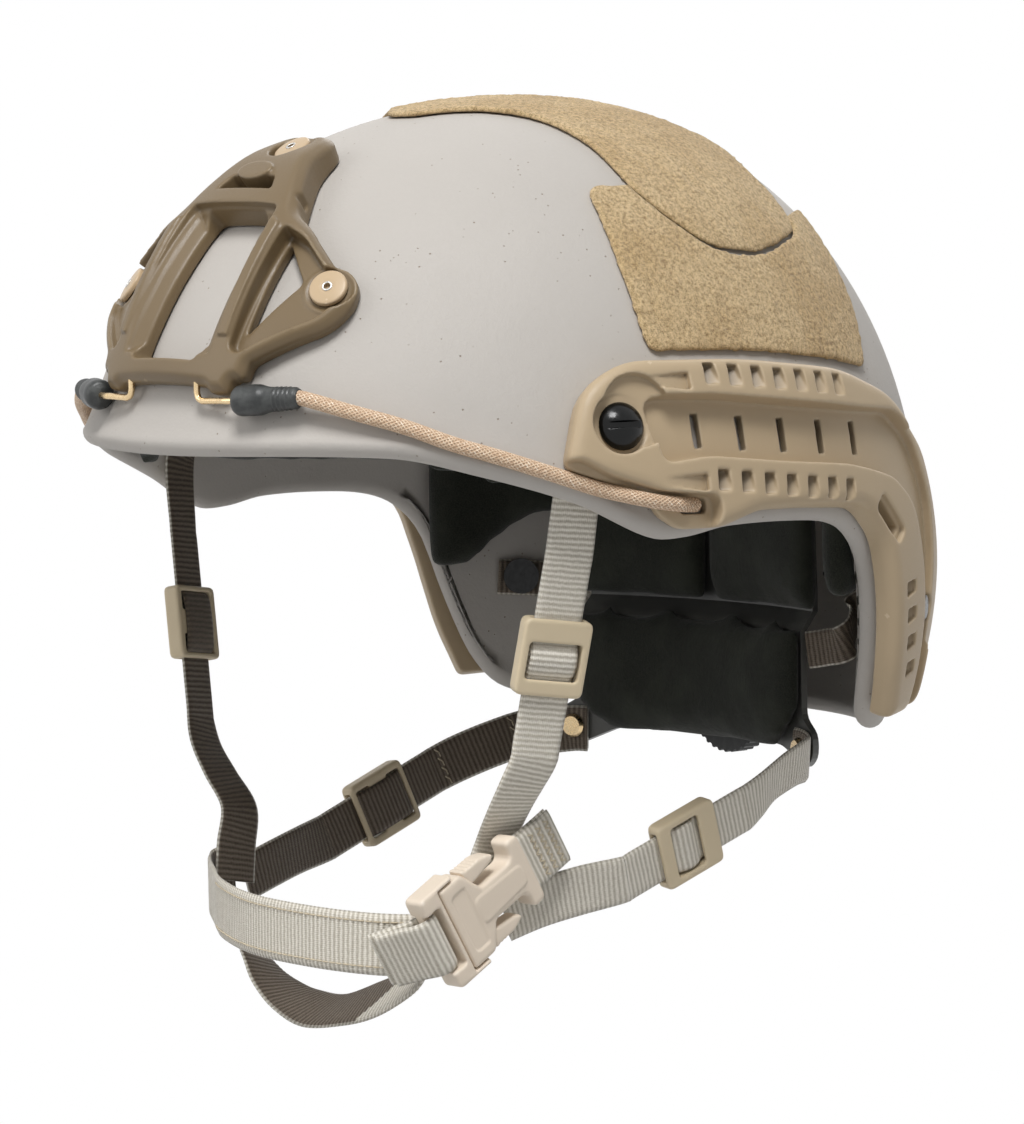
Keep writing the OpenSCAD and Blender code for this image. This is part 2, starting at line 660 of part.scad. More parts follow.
// Front shroud
shroud_outline = rounded(mirrored([
    [8, 95.5, 3], [12.5, 93.5, 3], [15.5, 87, 4], [22.5, 78.5, 3], [27, 72, 3], [36, 67.5, 4],
    [60.5, 48, 6], [57, 39.5, 4], [36, 28, 3], [38.5, 26, 1.5], [38.5, 23.8, 1], [31.6, 23.8, 1.5],
    [31, 19.4, 1.5], [24, 19.4, 2], [21.5, 21.6, 1.5]
]));
function shroud_top(az, z) = curve(shroud_keys, z) * curve(shroud_fall, abs(az));
function window_outline(half) = rounded([
    [half - 1, 73, 3], [half + 0.5, 29, 3], [-half - 0.5, 29, 3], [-half + 1, 73, 3]
]);
module shroud_cut(outline, d) {
    intersection() {
        skin_slab([-40, 40], [18, lift(82)], [10, 6], d, 22);
        front_wedge(outline);
    }
}
module front_shroud() {
    tri = rounded([[28.5, 65, 2], [40, 53, 3], [30.5, 38.5, 2]]);
    pocket = rounded([[29, 67, 2], [37, 64, 3], [55.6, 49.5, 4], [53, 42.4, 3], [32, 31.5, 2], [29, 33, 1]]);
    color(shroud_colour)
        difference() {
            intersection() {
                skin_slab([-40, 40], [12, lift(97.5)], [14, 11], skin_gap, function(az, z) shroud_top(az, z));
                front_wedge(shroud_outline);
            }
            front_wedge(window_outline(window_half_w - 2 * window_step_w));
            shroud_cut(window_outline(window_half_w - window_step_w), shroud_floor_h);
            shroud_cut(window_outline(window_half_w), shroud_floor_h + 2.6);
            front_wedge(rounded(mirrored([[11, 79.6, 1], [13.4, 76.4, 1]])));
            for (side = [0, 1])
                mirror([side, 0, 0]) {
                    front_wedge(tri);
                    shroud_cut(pocket, shroud_floor_h);
                    translate([hook_x, hook_y, 0])
                        cylinder(d = hook_wire_d + 2 * hole_gap, h = hook_z + hook_leg + 1);
                }
            for (b = shroud_bolts)
                on_skin(b[0], b[1], 0)
                    cylinder(d = nut_sleeve_d + 2 * hole_gap, h = 30);
            on_skin(0, lift(top_screw_z), shroud_tab_h)
                cylinder(d = disc_head_d + 1.4, h = 20);
            for (side = [-1, 1])
                on_skin(side * side_screw_az, lift(side_screw_z), shroud_floor_h)
                    cylinder(d = disc_head_d + 0.8, h = 20);
        }
}
module shroud_screws() {
    color(hardware_colour)
        for (b = shroud_bolts) {
            floor_h = b[0] == 0 ? shroud_tab_h : shroud_floor_h;
            on_skin(b[0], b[1], 0)
                difference() {
                    union() {
                        translate([0, 0, floor_h + seat_gap])
                            cylinder(d1 = disc_head_d, d2 = disc_head_d - 1, h = disc_head_h);
                        translate([0, 0, 1 - shell_wall])
                            cylinder(d = shank_d, h = floor_h + shell_wall - 1 + seat_gap + 0.5);
                    }
                    translate([0, 0, floor_h + disc_head_h - 0.8])
                        cylinder(d = 2.4, h = 3, $fn = 6);
                }
        }
}
module shroud_nuts() {
    color(black_colour)
        for (b = shroud_bolts)
            on_skin(b[0], b[1], -shell_wall)
                nut(soft_gap);
}

// Rails
rail_outline = rounded([
    [-74, -3, 4], [-66, 20, 11], [-50, 28, 7], [-10, 27.2, 8], [36, 22.6, 8], [62, 14, 8], [84, -5, 5],
    [92, -22, 5], [102, -46, 8], [103, -66, 8], [95, -84, 3], [89, -91, 3], [66, -92.5, 2], [61, -74, 5],
    [56, -50, 6], [50, -31, 6], [38, -20.5, 5], [12, -19, 5], [-9, -18.8, 5], [-24, -23.4, 3],
    [-38, -23.2, 3], [-45, -18.5, 2], [-48, -12.5, 2]
]);
channel_outline = rounded([
    [-47, 17, 6], [-23, 16.2, 4], [4, 13.4, 4], [34, 10.4, 4], [62, 8, 4], [76, -2, 5], [87, -22, 6],
    [92, -44, 8], [91, -64, 8], [86, -100, 0], [78, -100, 0], [81, -78, 6], [79.5, -57, 6], [74, -37, 8],
    [67, -21, 6], [55, -12.6, 4], [44, -9.8, 4], [30, -7.2, 4], [1, -5, 4], [-28, -2, 4], [-44, -3.6, 4]
]);
flange_outline = rounded([
    [-80, -2, 0], [-69, -1, 2], [-61, -6, 3], [-46, -11.6, 4], [-26, -13.4, 3], [-25, -19, 3], [-30, -30, 0],
    [-80, -30, 0]
]);
lip_outline = [[64, 30], [112, 30], [112, -100], [90, -100], [90, -60], [84, -24], [70, 5]];
rear_head_d = 8;
rear_ledge_h = rail_ledge_h - 1.4;
rail_keys = [
    [turn(50), rail_ledge_h], [turn(98), rail_ledge_h], [turn(113), rear_ledge_h], [turn(152), rear_ledge_h]
];
bolt_floor_h = rail_floor_h + 2.2;
function tooth_at(i) = (i - (tooth_count - 1) / 2) * tooth_step;
module tooth(y, z, tilt = 0) {
    slant = 1.2;
    half_h = 3;
    translate([0, y, z])
        rotate([tilt, 0, 0])
            side_prism([
                [-tooth_w / 2, half_h], [tooth_w / 2 - slant / 2, half_h], [tooth_w / 2, -half_h],
                [-tooth_w / 2, -half_h]
            ]);
}
module rail_cut(outline, d) {
    intersection() {
        skin_slab([turn(50), turn(152)], [-97, 32], [10, 5], d, 26);
        side_wedge(outline);
    }
}
module rail() {
    upper_y = 4.2;
    lower_y = 2.9;
    squares = [[66, -48.4], [68, -57], [70, -66], [72.5, -75]];
    color(rail_colour)
        difference() {
            intersection() {
                skin_slab(
                    [turn(50), turn(152)], [-96.5, 31], [15, 7],
                    skin_gap, function(az, z) curve(rail_keys, az)
                );
                side_wedge(rail_outline);
            }
            rail_cut(channel_outline, rail_floor_h);
            rail_cut(flange_outline, rail_floor_h);
            rail_cut(lip_outline, rail_lip_h);
            intersection() {
                skin_slab([turn(70), turn(112)], [-40, 30], [6, 3], rail_ledge_h - tooth_depth, 26);
                union()
                    for (i = [0:tooth_count - 1]) {
                        tooth(upper_y + tooth_at(i), 19.6 - 0.098 * tooth_at(i), -3);
                        tooth(lower_y + tooth_at(i), -12.2 - 0.105 * tooth_at(i), -3);
                    }
            }
            intersection() {
                skin_slab([turn(106), turn(130)], [-90, -30], [3, 3], rear_ledge_h - tooth_depth, 26);
                union()
                    for (q = squares)
                        tooth(q[0], q[1], -82);
            }
            for (i = [-2:2])
                translate([60, 7 + i * slot_step - slot_w / 2, 4 - 0.08 * i * slot_step - slot_len / 2])
                    cube([100, slot_w, slot_len]);
            side_prism(rounded([[-42, -13.6, 1], [-27, -13.6, 2], [-27, -19.4, 2], [-42, -19.4, 1]]));
            translate([0, 51.4, -25.2])
                rotate([-44, 0, 0])
                    side_prism(rounded([[-7, 2.1, 1.5], [7, 2.1, 1.5], [7, -2.1, 1.5], [-7, -2.1, 1.5]]));
            on_skin(turn(front_bolt_az), front_bolt_z, 0)
                cylinder(d = nut_sleeve_d + 2 * hole_gap, h = 30);
            on_skin(turn(front_bolt_az), front_bolt_z, bolt_floor_h)
                cylinder(d = dome_head_d + 1.6, h = 20);
            on_skin(turn(rear_bolt_az), rear_bolt_z, 0)
                cylinder(d = nut_sleeve_d + 2 * hole_gap, h = 30);
            on_skin(turn(rear_bolt_az), rear_bolt_z, rail_floor_h)
                cylinder(d = rear_head_d + 1.8, h = 20);
        }
}
module left_rail() rail();
module right_rail()
    on_right()
        rail();
module rail_screws() {
    slot = 1.4;
    dome_r = (pow(dome_head_d / 2, 2) + pow(dome_head_h, 2)) / (2 * dome_head_h);
    color(black_colour)
        for (b = rail_bolts) {
            front = abs(b[0]) < 90;
            floor_h = front ? bolt_floor_h : rail_floor_h;
            on_skin(b[0], b[1], 0) {
                if (front)
                    difference() {
                        intersection() {
                            translate([0, 0, floor_h + seat_gap + dome_head_h - dome_r])
                                sphere(r = dome_r);
                            translate([0, 0, floor_h + seat_gap])
                                cylinder(d = dome_head_d, h = dome_head_h);
                        }
                        rotate([0, 0, b[0]])
                            translate([-dome_head_d, -slot / 2, floor_h + dome_head_h - 0.9])
                                cube([2 * dome_head_d, slot, 4]);
                    }
                else
                    translate([0, 0, floor_h + seat_gap])
                        cylinder(d = rear_head_d, h = 1.8);
                translate([0, 0, 1 - shell_wall])
                    cylinder(d = shank_d, h = floor_h + shell_wall - 1 + seat_gap + 0.5);
            }
        }
}
module rail_nuts() {
    color(black_colour)
        for (b = rail_bolts)
            on_skin(b[0], b[1], -shell_wall)
                nut(clamp_gap);
}

// Bungees, their boots and their wire hooks
function bungee_point(a) =
    let (share = min(1, max(0, (a - bungee_start) / 36)))
    skin(a + share * (turn(a) - a), curve(bungee_keys_z, a), curve(bungee_keys_d, a));
boot_from = [hook_out_x, hook_y + 0.9, hook_z + 0.3];
module bungee() {
    step = (bungee_end - bungee_start) / bungee_rings;
    color(brass_colour)
        cord([for (i = [0:bungee_rings]) bungee_point(bungee_start + step * i)], bungee_d);
}
module boot() {
    way = unit(bungee_point(bungee_start + 1.5) - boot_from);
    neck_d = bungee_d + 2.6;
    bulb_len = boot_len * 0.5;
    color(black_colour)
        translate(boot_from)
            rotate([0, acos(way.z), atan2(way.y, way.x)])
                difference() {
                    rotate_extrude()
                        polygon([
                            [0, 0], [boot_d / 2 - 1.6, 0], [boot_d / 2 - 0.4, 0.9], [boot_d / 2, 2.4],
                            [boot_d / 2, bulb_len - 1.5], [boot_d / 2 - 0.5, bulb_len],
                            [neck_d / 2 + 0.3, bulb_len + 2.5],
                            [neck_d / 2 - 0.2, boot_len], [0, boot_len]
                        ]);
                    translate([0, 0, -1])
                        cylinder(d = hook_wire_d + 0.1, h = bulb_len);
                    translate([0, 0, bulb_len])
                        cylinder(d = bungee_d + 1.2, h = boot_len);
                }
}
module hook() {
    corner = [hook_x, hook_y, hook_z];
    way = unit(bungee_point(bungee_start + 1.5) - boot_from);
    knee = boot_from - 1.6 * way;
    bend = 1.4;
    color(brass_colour)
        cord([
            corner + [0, 0, hook_leg], corner + [0, 0, bend], corner + [0.4, 0, 0.4], corner + [bend, 0, 0],
            knee - [bend, 0, 0], knee + 0.2 * way, boot_from + 8 * way
        ], hook_wire_d, 10, [0, 1, 0]);
}
module left_bungee() bungee();
module right_bungee()
    on_right()
        bungee();
module left_boot() boot();
module right_boot()
    on_right()
        boot();
module left_hook() hook();
module right_hook()
    on_right()
        hook();

// Loop fastener panels: the side panels are cut along the crown panel, with a narrow seam between
panel_seam = 0.8;
crown_corners = [
    [6, -43, 4], [21, -29.4, 6], [38, -19.6, 8], [56, -15.4, 6], [76, -14.6, 2], [83.6, -9.4, 3], [91, 0, 5],
    [92.8, 12, 6], [91.6, 24, 6], [87, 36, 6], [80, 48.6, 4], [71, 50.6, 4], [60, 47, 6],
    [30, 56, 8], [6, 58, 4]
];
function crown_outline(grow) = rounded(mirrored([
    for (c = crown_corners)
    [c[0] * (1 + grow / 90) * skin_half_w / drawn_half_w, c[1], c[2]]
]));
module crown_prism(grow) {
    translate([0, 0, -20])
        linear_extrude(crown_level + 60)
            polygon(crown_outline(grow));
}
module crown_loop_panel() {
    color(loop_colour)
        intersection() {
            crown_prism(0);
            crown_slab(skin_gap + 0.1, skin_gap + loop_t);
        }
}
// A slab over the crown, laid on a square grid
module crown_slab(d_in, d_out) {
    function over(x, y) =
        let (b = y < 0 ? skin_front : skin_back)
        let (w = 1 - pow(abs(x) / skin_half_w, skin_power) - pow(abs(y) / b, skin_power))
        skin(atan2(x, -y), -skin_mid_depth + skin_rise * pow(w, 1 / skin_power), 0);
    function raised(x, y, d) = let (p = over(x, y)) p + d * skin_normal(atan2(x, -y), p.z);
    half = 96 * skin_half_w / drawn_half_w;
    xs = [for (i = [-9:9]) half * sin(i * 10)];
    ys = [for (j = [0:10]) -48 + 11 * j];
    grid_solid(
        [for (x = xs) [for (y = ys) raised(x, y, d_out)]],
        [for (x = xs) [for (y = ys) raised(x, y, d_in)]]
    );
}
module side_loop_panel() {
    outline = rounded([
        [-30.6, 77.6, 5], [-34.6, 56, 6], [-35.6, 36, 4], [-35, 28.4, 4], [-12, 28.2, 3], [8, 27, 3],
        [30, 24.6, 3], [58, 20.2, 2], [64, 37, 5], [66.6, 55, 5], [67, 68.6, 2], [50, 66.8, 2], [30, 68, 4],
        [-10, 77.4, 4]
    ]);
    color(loop_colour)
        difference() {
            intersection() {
                skin_slab([turn(66), turn(128)], [16, lift(80)], [10, 8], skin_gap, skin_gap + loop_t);
                side_prism(lifted(outline), [40, 160]);
            }
            crown_prism(panel_seam);
        }
}
module left_loop_panel() side_loop_panel();
module right_loop_panel()
    on_right()
        side_loop_panel();
module rear_loop_panel() {
    outline = rounded(mirrored([[40, 40, 6], [44, 4, 4], [36, -2, 4]]));
    color(loop_colour)
        intersection() {
            skin_slab([154, 206], [-6, lift(44)], [8, 5], skin_gap, skin_gap + loop_t);
            front_prism(lifted(outline), [60, 160]);
        }
}

// Liner pads
module brow_pad() {
    low = [for (k = edge_keys) if (k[0] <= 76) [k[0], k[1] - 0.8]];
    color(pad_colour)
        shell_pad([-54, 54], low, 34, [20, 5], brow_pad_t);
}
module crown_pad() {
    r = 46;
    top = crown_level - shell_wall - soft_gap;
    sag = 0.0047;
    narrow = drawn_half_w / skin_half_w;
    function dome(x, y, u) =
        let (q = min(1, norm([x, y]) / r), rim = pow(q, 6))
        let (t = u * pad_t * (0.35 + 0.65 * pow(1 - rim, 0.5)))
        [x, y, top - sag * (pow(x * narrow, 2) + y * y) - t - 1.2 * rim];
    color(pad_colour)
        grid_solid(
            [for (i = [-6:6]) [for (j = [-6:6]) dome(square_x(i, j) * r, square_y(i, j) * r, 0)]],
            [for (i = [-6:6]) [for (j = [-6:6]) dome(square_x(i, j) * r, square_y(i, j) * r, 1)]]
        );
}
// A square grid bent into a disc
function square_x(i, j) = i / 6 * sqrt(1 - pow(j / 6, 2) / 2);
function square_y(i, j) = j / 6 * sqrt(1 - pow(i / 6, 2) / 2);
module front_pad() {
    color(pad_colour)
        shell_pad([72, 100], [[70, 4], [102, 4]], 44, [8, 8], pad_t);
}
module rear_pad() {
    low = [[110, -52], [121, -52], [127, -42], [133, -35], [150, -34]];
    color(pad_colour)
        shell_pad([113.8, 146], low, 8, [8, 10], pad_t);
}
module left_front_pad() front_pad();
module right_front_pad()
    on_right()
        front_pad();
module left_rear_pad() rear_pad();
module right_rear_pad()
    on_right()
        rear_pad();

// A pad on the nape cradle, in arcs round the nape axis
module nape_cushion(x, z, r, t, steps, corner = 0) {
    function spot(i, j, u) =
        let (k = 2 * i / steps[0] - 1, px = x[0] + (x[1] - x[0]) * i / steps[0])
        let (low = z[0] + corner * pow(abs(k), 7), pz = low + (z[1] - low) * j / steps[1])
        let (s = swell(i / steps[0], j / steps[1]))
        let (q = r + t - u * t * (0.35 + 0.65 * s) - (1 - u) * 1.2 * (1 - s))
        [px, nape_axis_y + sqrt(q * q - px * px), pz];
    color(pad_colour)
        grid_solid(
            [for (i = [0:steps[0]]) [for (j = [0:steps[1]]) spot(i, j, 1)]],
            [for (i = [0:steps[0]]) [for (j = [0:steps[1]]) spot(i, j, 0)]]
        );
}
module nape_pad() {
    half = cradle_half_w + 1.5;
    nape_cushion([-half, half], [nape_pad_bottom, nape_pad_top], nape_pad_front, nape_pad_t, [16, 8], 15);
}
module left_upper_nape_pad() {
    x = [0.6, cradle_half_w + 8];
    nape_cushion(x, [upper_pad_bottom, upper_pad_top], upper_pad_front, upper_nape_pad_t, [8, 8]);
}
module right_upper_nape_pad()
    on_right()
        left_upper_nape_pad();

// Nape cradle: a stepped plate turned round the nape axis, trimmed to its outline
module nape_cradle() {
    span = 46;
    outline = rounded(mirrored([
        [cradle_half_w - 8, cradle_top, 5], [cradle_half_w - 2, cradle_top - 6, 3], [cradle_half_w, -58, 4],
        [cradle_half_w, -94, 3], [ear_x + ear_r, ear_z + 5, 3], [ear_x + ear_r, ear_z - 2, 3],
        [ear_x, ear_z - ear_r, 3], [ear_x - ear_r - 2, cradle_bottom - 3, 2], [40, cradle_bottom, 3]
    ]));
    windows = rounded([[12, -24, 4], [40, -24, 4], [38, -50, 4], [12, -50, 4]]);
    color(grey_colour)
        difference() {
            intersection() {
                translate([0, nape_axis_y, 0])
                    rotate([0, 0, 90 - span / 2])
                        rotate_extrude(angle = span, $fn = 180)
                            polygon([
                                [cradle_low_r, -114], [cradle_low_r + cradle_t, -114],
                                [cradle_low_r + cradle_t, cradle_step_low],
                                [cradle_high_r + cradle_t, cradle_step_high],
                                [cradle_high_r + cradle_t, cradle_top + 1], [cradle_high_r, cradle_top + 1],
                                [cradle_high_r, cradle_step_high], [cradle_low_r, cradle_step_low]
                            ]);
                front_prism(outline, [60, 110]);
            }
            front_prism(windows, [60, 110]);
            mirror([1, 0, 0])
                front_prism(windows, [60, 110]);
            for (side = [-1, 1])
                at_ear(side)
                    translate([0, 0, -2 * cradle_t])
                        cylinder(d = stud_shank_d + 2 * hole_gap, h = 4 * cradle_t);
        }
}

// Studs that hold the rear straps on the cradle's ears
module at_ear(side) {
    translate([side * ear_x, ear_y(cradle_low_r), ear_z])
        rotate([90, 0, -side * ear_turn])
            children();
}
module strap_studs() {
    head_at = strap_t + 2 * seat_gap + 0.3;
    color(brass_colour)
        for (side = [-1, 1])
            at_ear(side) {
                translate([0, 0, head_at])
                    cylinder(d1 = stud_d, d2 = stud_d - 1.6, h = 1.4);
                translate([0, 0, -cradle_t - 0.6])
                    cylinder(d = stud_shank_d, h = cradle_t + head_at + 1);
            }
}

// Dial, its housing and its spool
spool_bore_d = dial_shaft_d - 2;
housing_front_t = 0.9;
housing_rear_t = 1;
module on_dial_axis(y) {
    translate([0, y, dial_z])
        rotate([-90, 0, 0])
            children();
}
module dial_housing() {
    cavity_len = housing_t - housing_front_t - housing_rear_t;
    color(grey_colour)
        difference() {
            on_dial_axis(housing_y)
                linear_extrude(housing_t)
                    polygon(rounded([
                        [-housing_half_w, -11, 6], [housing_half_w, -11, 6], [housing_half_w, 11, 6],
                        [-housing_half_w, 11, 6]
                    ]));
            on_dial_axis(housing_y + housing_front_t)
                cylinder(d = spool_d + 2 * spool_gap, h = cavity_len);
            on_dial_axis(housing_y + housing_front_t + cavity_len - 0.1)
                cylinder(d = dial_shaft_d + 2 * dial_gap, h = housing_rear_t + 1);
        }
}
module lace_spool() {
    color(black_colour)
        on_dial_axis(housing_y + housing_front_t + seat_gap)
            difference() {
                cylinder(d = spool_d, h = housing_t - housing_front_t - housing_rear_t - 2 * seat_gap);
                translate([0, 0, -1])
                    cylinder(d = spool_bore_d, h = housing_t);
            }
}
module adjuster_dial() {
    rib = 0.7;
    neck = housing_rear_t + seat_gap;
    tip_len = housing_t - housing_front_t - housing_rear_t - seat_gap;
    color(black_colour)
        on_dial_axis(dial_y) {
            linear_extrude(dial_t)
                polygon([
                    for (i = [0:dial_ribs * 4 - 1])
                    let (a = i * 90 / dial_ribs, r = dial_d / 2 - (i % 4 < 2 ? 0 : rib))
                    [r * cos(a), r * sin(a)]
                ]);
            translate([0, 0, -neck])
                cylinder(d = dial_shaft_d, h = neck + 0.5);
            translate([0, 0, -neck - tip_len])
                cylinder(d = spool_bore_d - 2 * dial_gap, h = tip_len + 0.5);
        }
}

// Suspension bands and laces between the cradle and the shell at the rear rail screws
band_t = 1.4;
function behind_nut(az, z, in = 0) =
    skin(turn(rear_bolt_az) + az, rear_bolt_z + z, -shell_wall - soft_gap - 0.3 - in - band_t / 2);
band_route = [
    [cradle_half_w + 2, 76.2, -72], [cradle_half_w + 8, 78, -71], [cradle_half_w + 16, 80, -68.5],
    behind_nut(13, -5, 7), behind_nut(5.6, -1.5, 0.6), behind_nut(-3.8, 0)
];
band_spans = concat(
    [for (i = [0:3]) [0, 0, 1]],
    [for (az = [5, -3.8]) skin_up(turn(rear_bolt_az) + az, rear_bolt_z)]
);
lace_end = skin(turn(rear_bolt_az) + 6, rear_bolt_z + 12, -shell_wall - 0.5 - lace_d / 2);
module band() {
    color(strap_colour)
        difference() {
            ribbon(band_route, band_spans, band_w, band_t, 3);
            on_skin(turn(rear_bolt_az), rear_bolt_z, -shell_wall - 6)
                cylinder(d = nut_sleeve_d + 2 * hole_gap, h = 12);
        }
}
module lace() {
    route = [
        [cradle_half_w + 2.6, 83.4, -48], [cradle_half_w + 8, 84.6, -47.2], [cradle_half_w + 14, 85, -46.4],
        (lace_end + [cradle_half_w + 18, 84.5, -46]) / 2, lace_end
    ];
    color(black_colour)
        cord([for (i = [0:12]) along(route, i / 3)], lace_d, 6);
}
module left_band() band();
module right_band()
    on_right()
        band();
module left_lace() lace();
module right_lace()
    on_right()
        lace();

// Chin straps
module front_strap() {
    color(strap_colour)
        difference() {
            ribbon(front_route, front_spans, strap_w, strap_t);
            on_skin(turn(front_bolt_az), front_bolt_z, -shell_wall - 6)
                cylinder(d = nut_sleeve_d + 2 * hole_gap, h = 12);
        }
}
module rear_strap() {
    color(strap_colour)
        difference() {
            ribbon(rear_route, rear_spans, strap_w, strap_t);
            at_ear(1)
                translate([0, 0, -4])
                    cylinder(d = stud_shank_d + 2 * hole_gap, h = 8);
        }
}
module left_front_strap() front_strap();
module right_front_strap()
    on_right()
        front_strap();
module left_rear_strap() rear_strap();
module right_rear_strap()
    on_right()
        rear_strap();

// Slider: a ladder through which the webbing runs, X across and Y along the strap
module slider() {
    slot_h = strap_t + 2 * slider_gap;
    slot_half_w = strap_w / 2 + 0.6;
    pane_w = strap_w / 2 + 0.5;
    pane_len = slider_window_len / 2;
    bar_shift = 7;
    bar_half = 3;
    color(hardware_colour)
        difference() {
            translate([0, 0, -slider_t / 2])
                linear_extrude(slider_t)
                    polygon(rounded([
                        [-slider_w / 2, -slider_len / 2, 3], [slider_w / 2, -slider_len / 2, 3],
                        [slider_w / 2, slider_len / 2, 3], [-slider_w / 2, slider_len / 2, 3]
                    ]));
            translate([-slot_half_w, -slider_len, -slot_h / 2])
                cube([2 * slot_half_w, 2 * slider_len, slot_h]);
            translate([0, -1, 0])
                linear_extrude(slider_t)
                    polygon(rounded([
                        [-pane_w, -pane_len, 1.5], [pane_w, -pane_len, 1.5],
                        [pane_w, pane_len, 1.5], [-pane_w, pane_len, 1.5]
                    ]));
            for (side = [-1, 1])
                translate([-pane_w, side * bar_shift - bar_half, -slider_t])
                    cube([2 * pane_w, 2 * bar_half, slider_t]);
        }
}
// Children set on a straight stretch of strap: X across, Y up the strap, Z to the outside
module on_strap(ends, span) {
    up = unit(ends[0] - ends[1]);
    side = unit(span - (span * up) * up);
    face = cross(up, side) * (cross(up, side).x > 0 ? 1 : -1);
    across = cross(up, face);
    mid = (ends[0] + ends[1]) / 2;
    multmatrix([
        [across.x, up.x, face.x, mid.x],
        [across.y, up.y, face.y, mid.y],
        [across.z, up.z, face.z, mid.z],
        [0, 0, 0, 1]
    ])
        children();
}
module left_front_slider()
    on_strap(front_slide, front_span)
        slider();
module right_front_slider()
    on_right()
        left_front_slider();
module left_rear_slider()
    on_strap(rear_slide, rear_span)
        slider();
module right_rear_slider()
    on_right()
        left_rear_slider();

// Buckle: X along it towards the rear strap, Z to the outside
module at_buckle() {
    translate(buckle_at)
        rotate([90, 0, 90])
            rotate([0, 0, buckle_tilt])
                children();
}
module plate(points, z0, z1) {
    translate([0, 0, z0])
        linear_extrude(z1 - z0)
            polygon(points);
}
module buckle_female() {
    half = buckle_w / 2;
    back = buckle_len / 2;
    bar_end = back - 6.4;
    latch_x = mouth_x + mouth_depth;
    outline = rounded([
        [mouth_x, -half, 1], [latch_x, -half, 1], [latch_x, -spine_half_w, 0.6], [9, -spine_half_w, 3],
        [13, -12, 3], [back, -11, 2], [back, 11, 2], [13, 12, 3], [9, spine_half_w, 3],
        [latch_x, spine_half_w, 0.6], [latch_x, half, 1], [mouth_x, half, 1]
    ]);
    color(hardware_colour)
        at_buckle()
            difference() {
                plate(outline, -buckle_t / 2, buckle_t / 2);
                translate([mouth_x - 1, -cavity_half_w, -cavity_half_t])
                    cube([mouth_depth + 1.5, 2 * cavity_half_w, 2 * cavity_half_t]);
                translate([mouth_x - 1, -4.6, -cavity_half_t])
                    cube([20, 9.2, 2 * cavity_half_t]);
                translate([bar_end, -web_half_w, -buckle_t])
                    cube([4, 2 * web_half_w, 2 * buckle_t]);
                translate([bar_end, -web_half_w, buckle_t / 2 - web_recess])
                    cube([10, 2 * web_half_w, 4]);
                translate([bar_end, -web_half_w, -buckle_t / 2 - 4 + web_recess])
                    cube([10, 2 * web_half_w, 4]);
            }
}
module buckle_male() {
    half = buckle_w / 2 + buckle_gap;
    front = -buckle_len / 2;
    base_x = mouth_x - buckle_gap;
    wall = 1.6;
    color(hardware_colour)
        at_buckle()
            difference() {
                union() {
                    plate(rounded([
                        [front, -half - wall, 2], [base_x + 6.5, -half - wall, 0.4], [base_x + 6.5, -half, 0],
                        [base_x, -half, 0], [base_x, half, 0], [base_x + 6.5, half, 0],
                        [base_x + 6.5, half + wall, 0.4], [front, half + wall, 2]
                    ]), -buckle_t / 2, buckle_t / 2);
                    translate([base_x - 1, -4.2, -cavity_half_t + buckle_gap])
                        cube([17, 8.4, 2 * (cavity_half_t - buckle_gap)]);
                }
                translate([front + 2.6, -web_half_w, -buckle_t])
                    cube([3.4, 2 * web_half_w, 2 * buckle_t]);
                translate([front - 3, -web_half_w, buckle_t / 2 - web_recess])
                    cube([8, 2 * web_half_w, 4]);
                translate([front - 3, -web_half_w, -buckle_t / 2 - 4 + web_recess])
                    cube([8, 2 * web_half_w, 4]);
            }
}
module prong_shape() {
    root_x = mouth_x + 0.05;
    latch_x = mouth_x + mouth_depth + 0.4;
    tongue_t = cavity_half_t - buckle_gap;
    plate([
        [root_x, prong_y - 1.2], [root_x, prong_y + 1.2], [latch_x + 2, prong_y + 2.6],
        [latch_x + 2, prong_y + 0.6]
    ], -tongue_t, tongue_t);
    plate(rounded([
        [latch_x, cavity_half_w - 3, 0.5], [latch_x, cavity_half_w + 1.2, 0.6],
        [latch_x + 6, cavity_half_w + 1, 3], [latch_x + 9.6, prong_y + 1.6, 2],
        [latch_x + 8.8, prong_y + 0.5, 0.5], [latch_x + 1, prong_y + 0.6, 0.5]
    ]), -buckle_t / 2 + 0.9, buckle_t / 2 - 0.9);
}
module buckle_upper_prong() {
    color(hardware_colour)
        at_buckle()
            prong_shape();
}
module buckle_lower_prong() {
    color(hardware_colour)
        at_buckle()
            mirror([0, 1, 0])
                prong_shape();
}

// Webbing looped through the two ends of the buckle
module loop_through(route, spans) {
    color(strap_colour)
        at_buckle()
            ribbon(route, spans, chin_w, strap_t - 0.2, 2);
}
module buckle_tab() {
    across = [0, 1, 0];
    back = buckle_len / 2;
    loop_through([
        [back + 16, 0, -0.6], [back + 7, 0, -0.8], [back + 3, 0, -2], [back, 0, -2.9], [back - 3.8, 0, -2.1],
        [back - 4.6, 0, 0], [back - 3.8, 0, 2.1], [back, 0, 2.8], [back + 4, 0, 2.4], [back + 8, 0, 1.4],
        [back + 16, 0, 1.4]
    ], [for (i = [0:10]) across]);
}
module chin_loop() {
    across = [0, 1, 0];
    bar = -buckle_len / 2;
    loop_through([
        [bar - 10, 0, -14.4], [bar - 6, 0, -10], [bar - 2, 0, -5.2], [bar + 0.2, 0, -3.3],
        [bar + 3.6, 0, -2.2],
        [bar + 4.4, 0, 0], [bar + 3.6, 0, 2.2], [bar + 0.6, 0, 2.9], [bar - 2.4, 0, 1], [bar - 6, 0, -5.6],
        [bar - 10, 0, -11.4]
    ], [for (i = [0:10]) across]);
}
module upper_chin_band() {
    color(strap_colour)
        ribbon(upper_chin_route, upper_chin_spans, chin_w, strap_t);
}
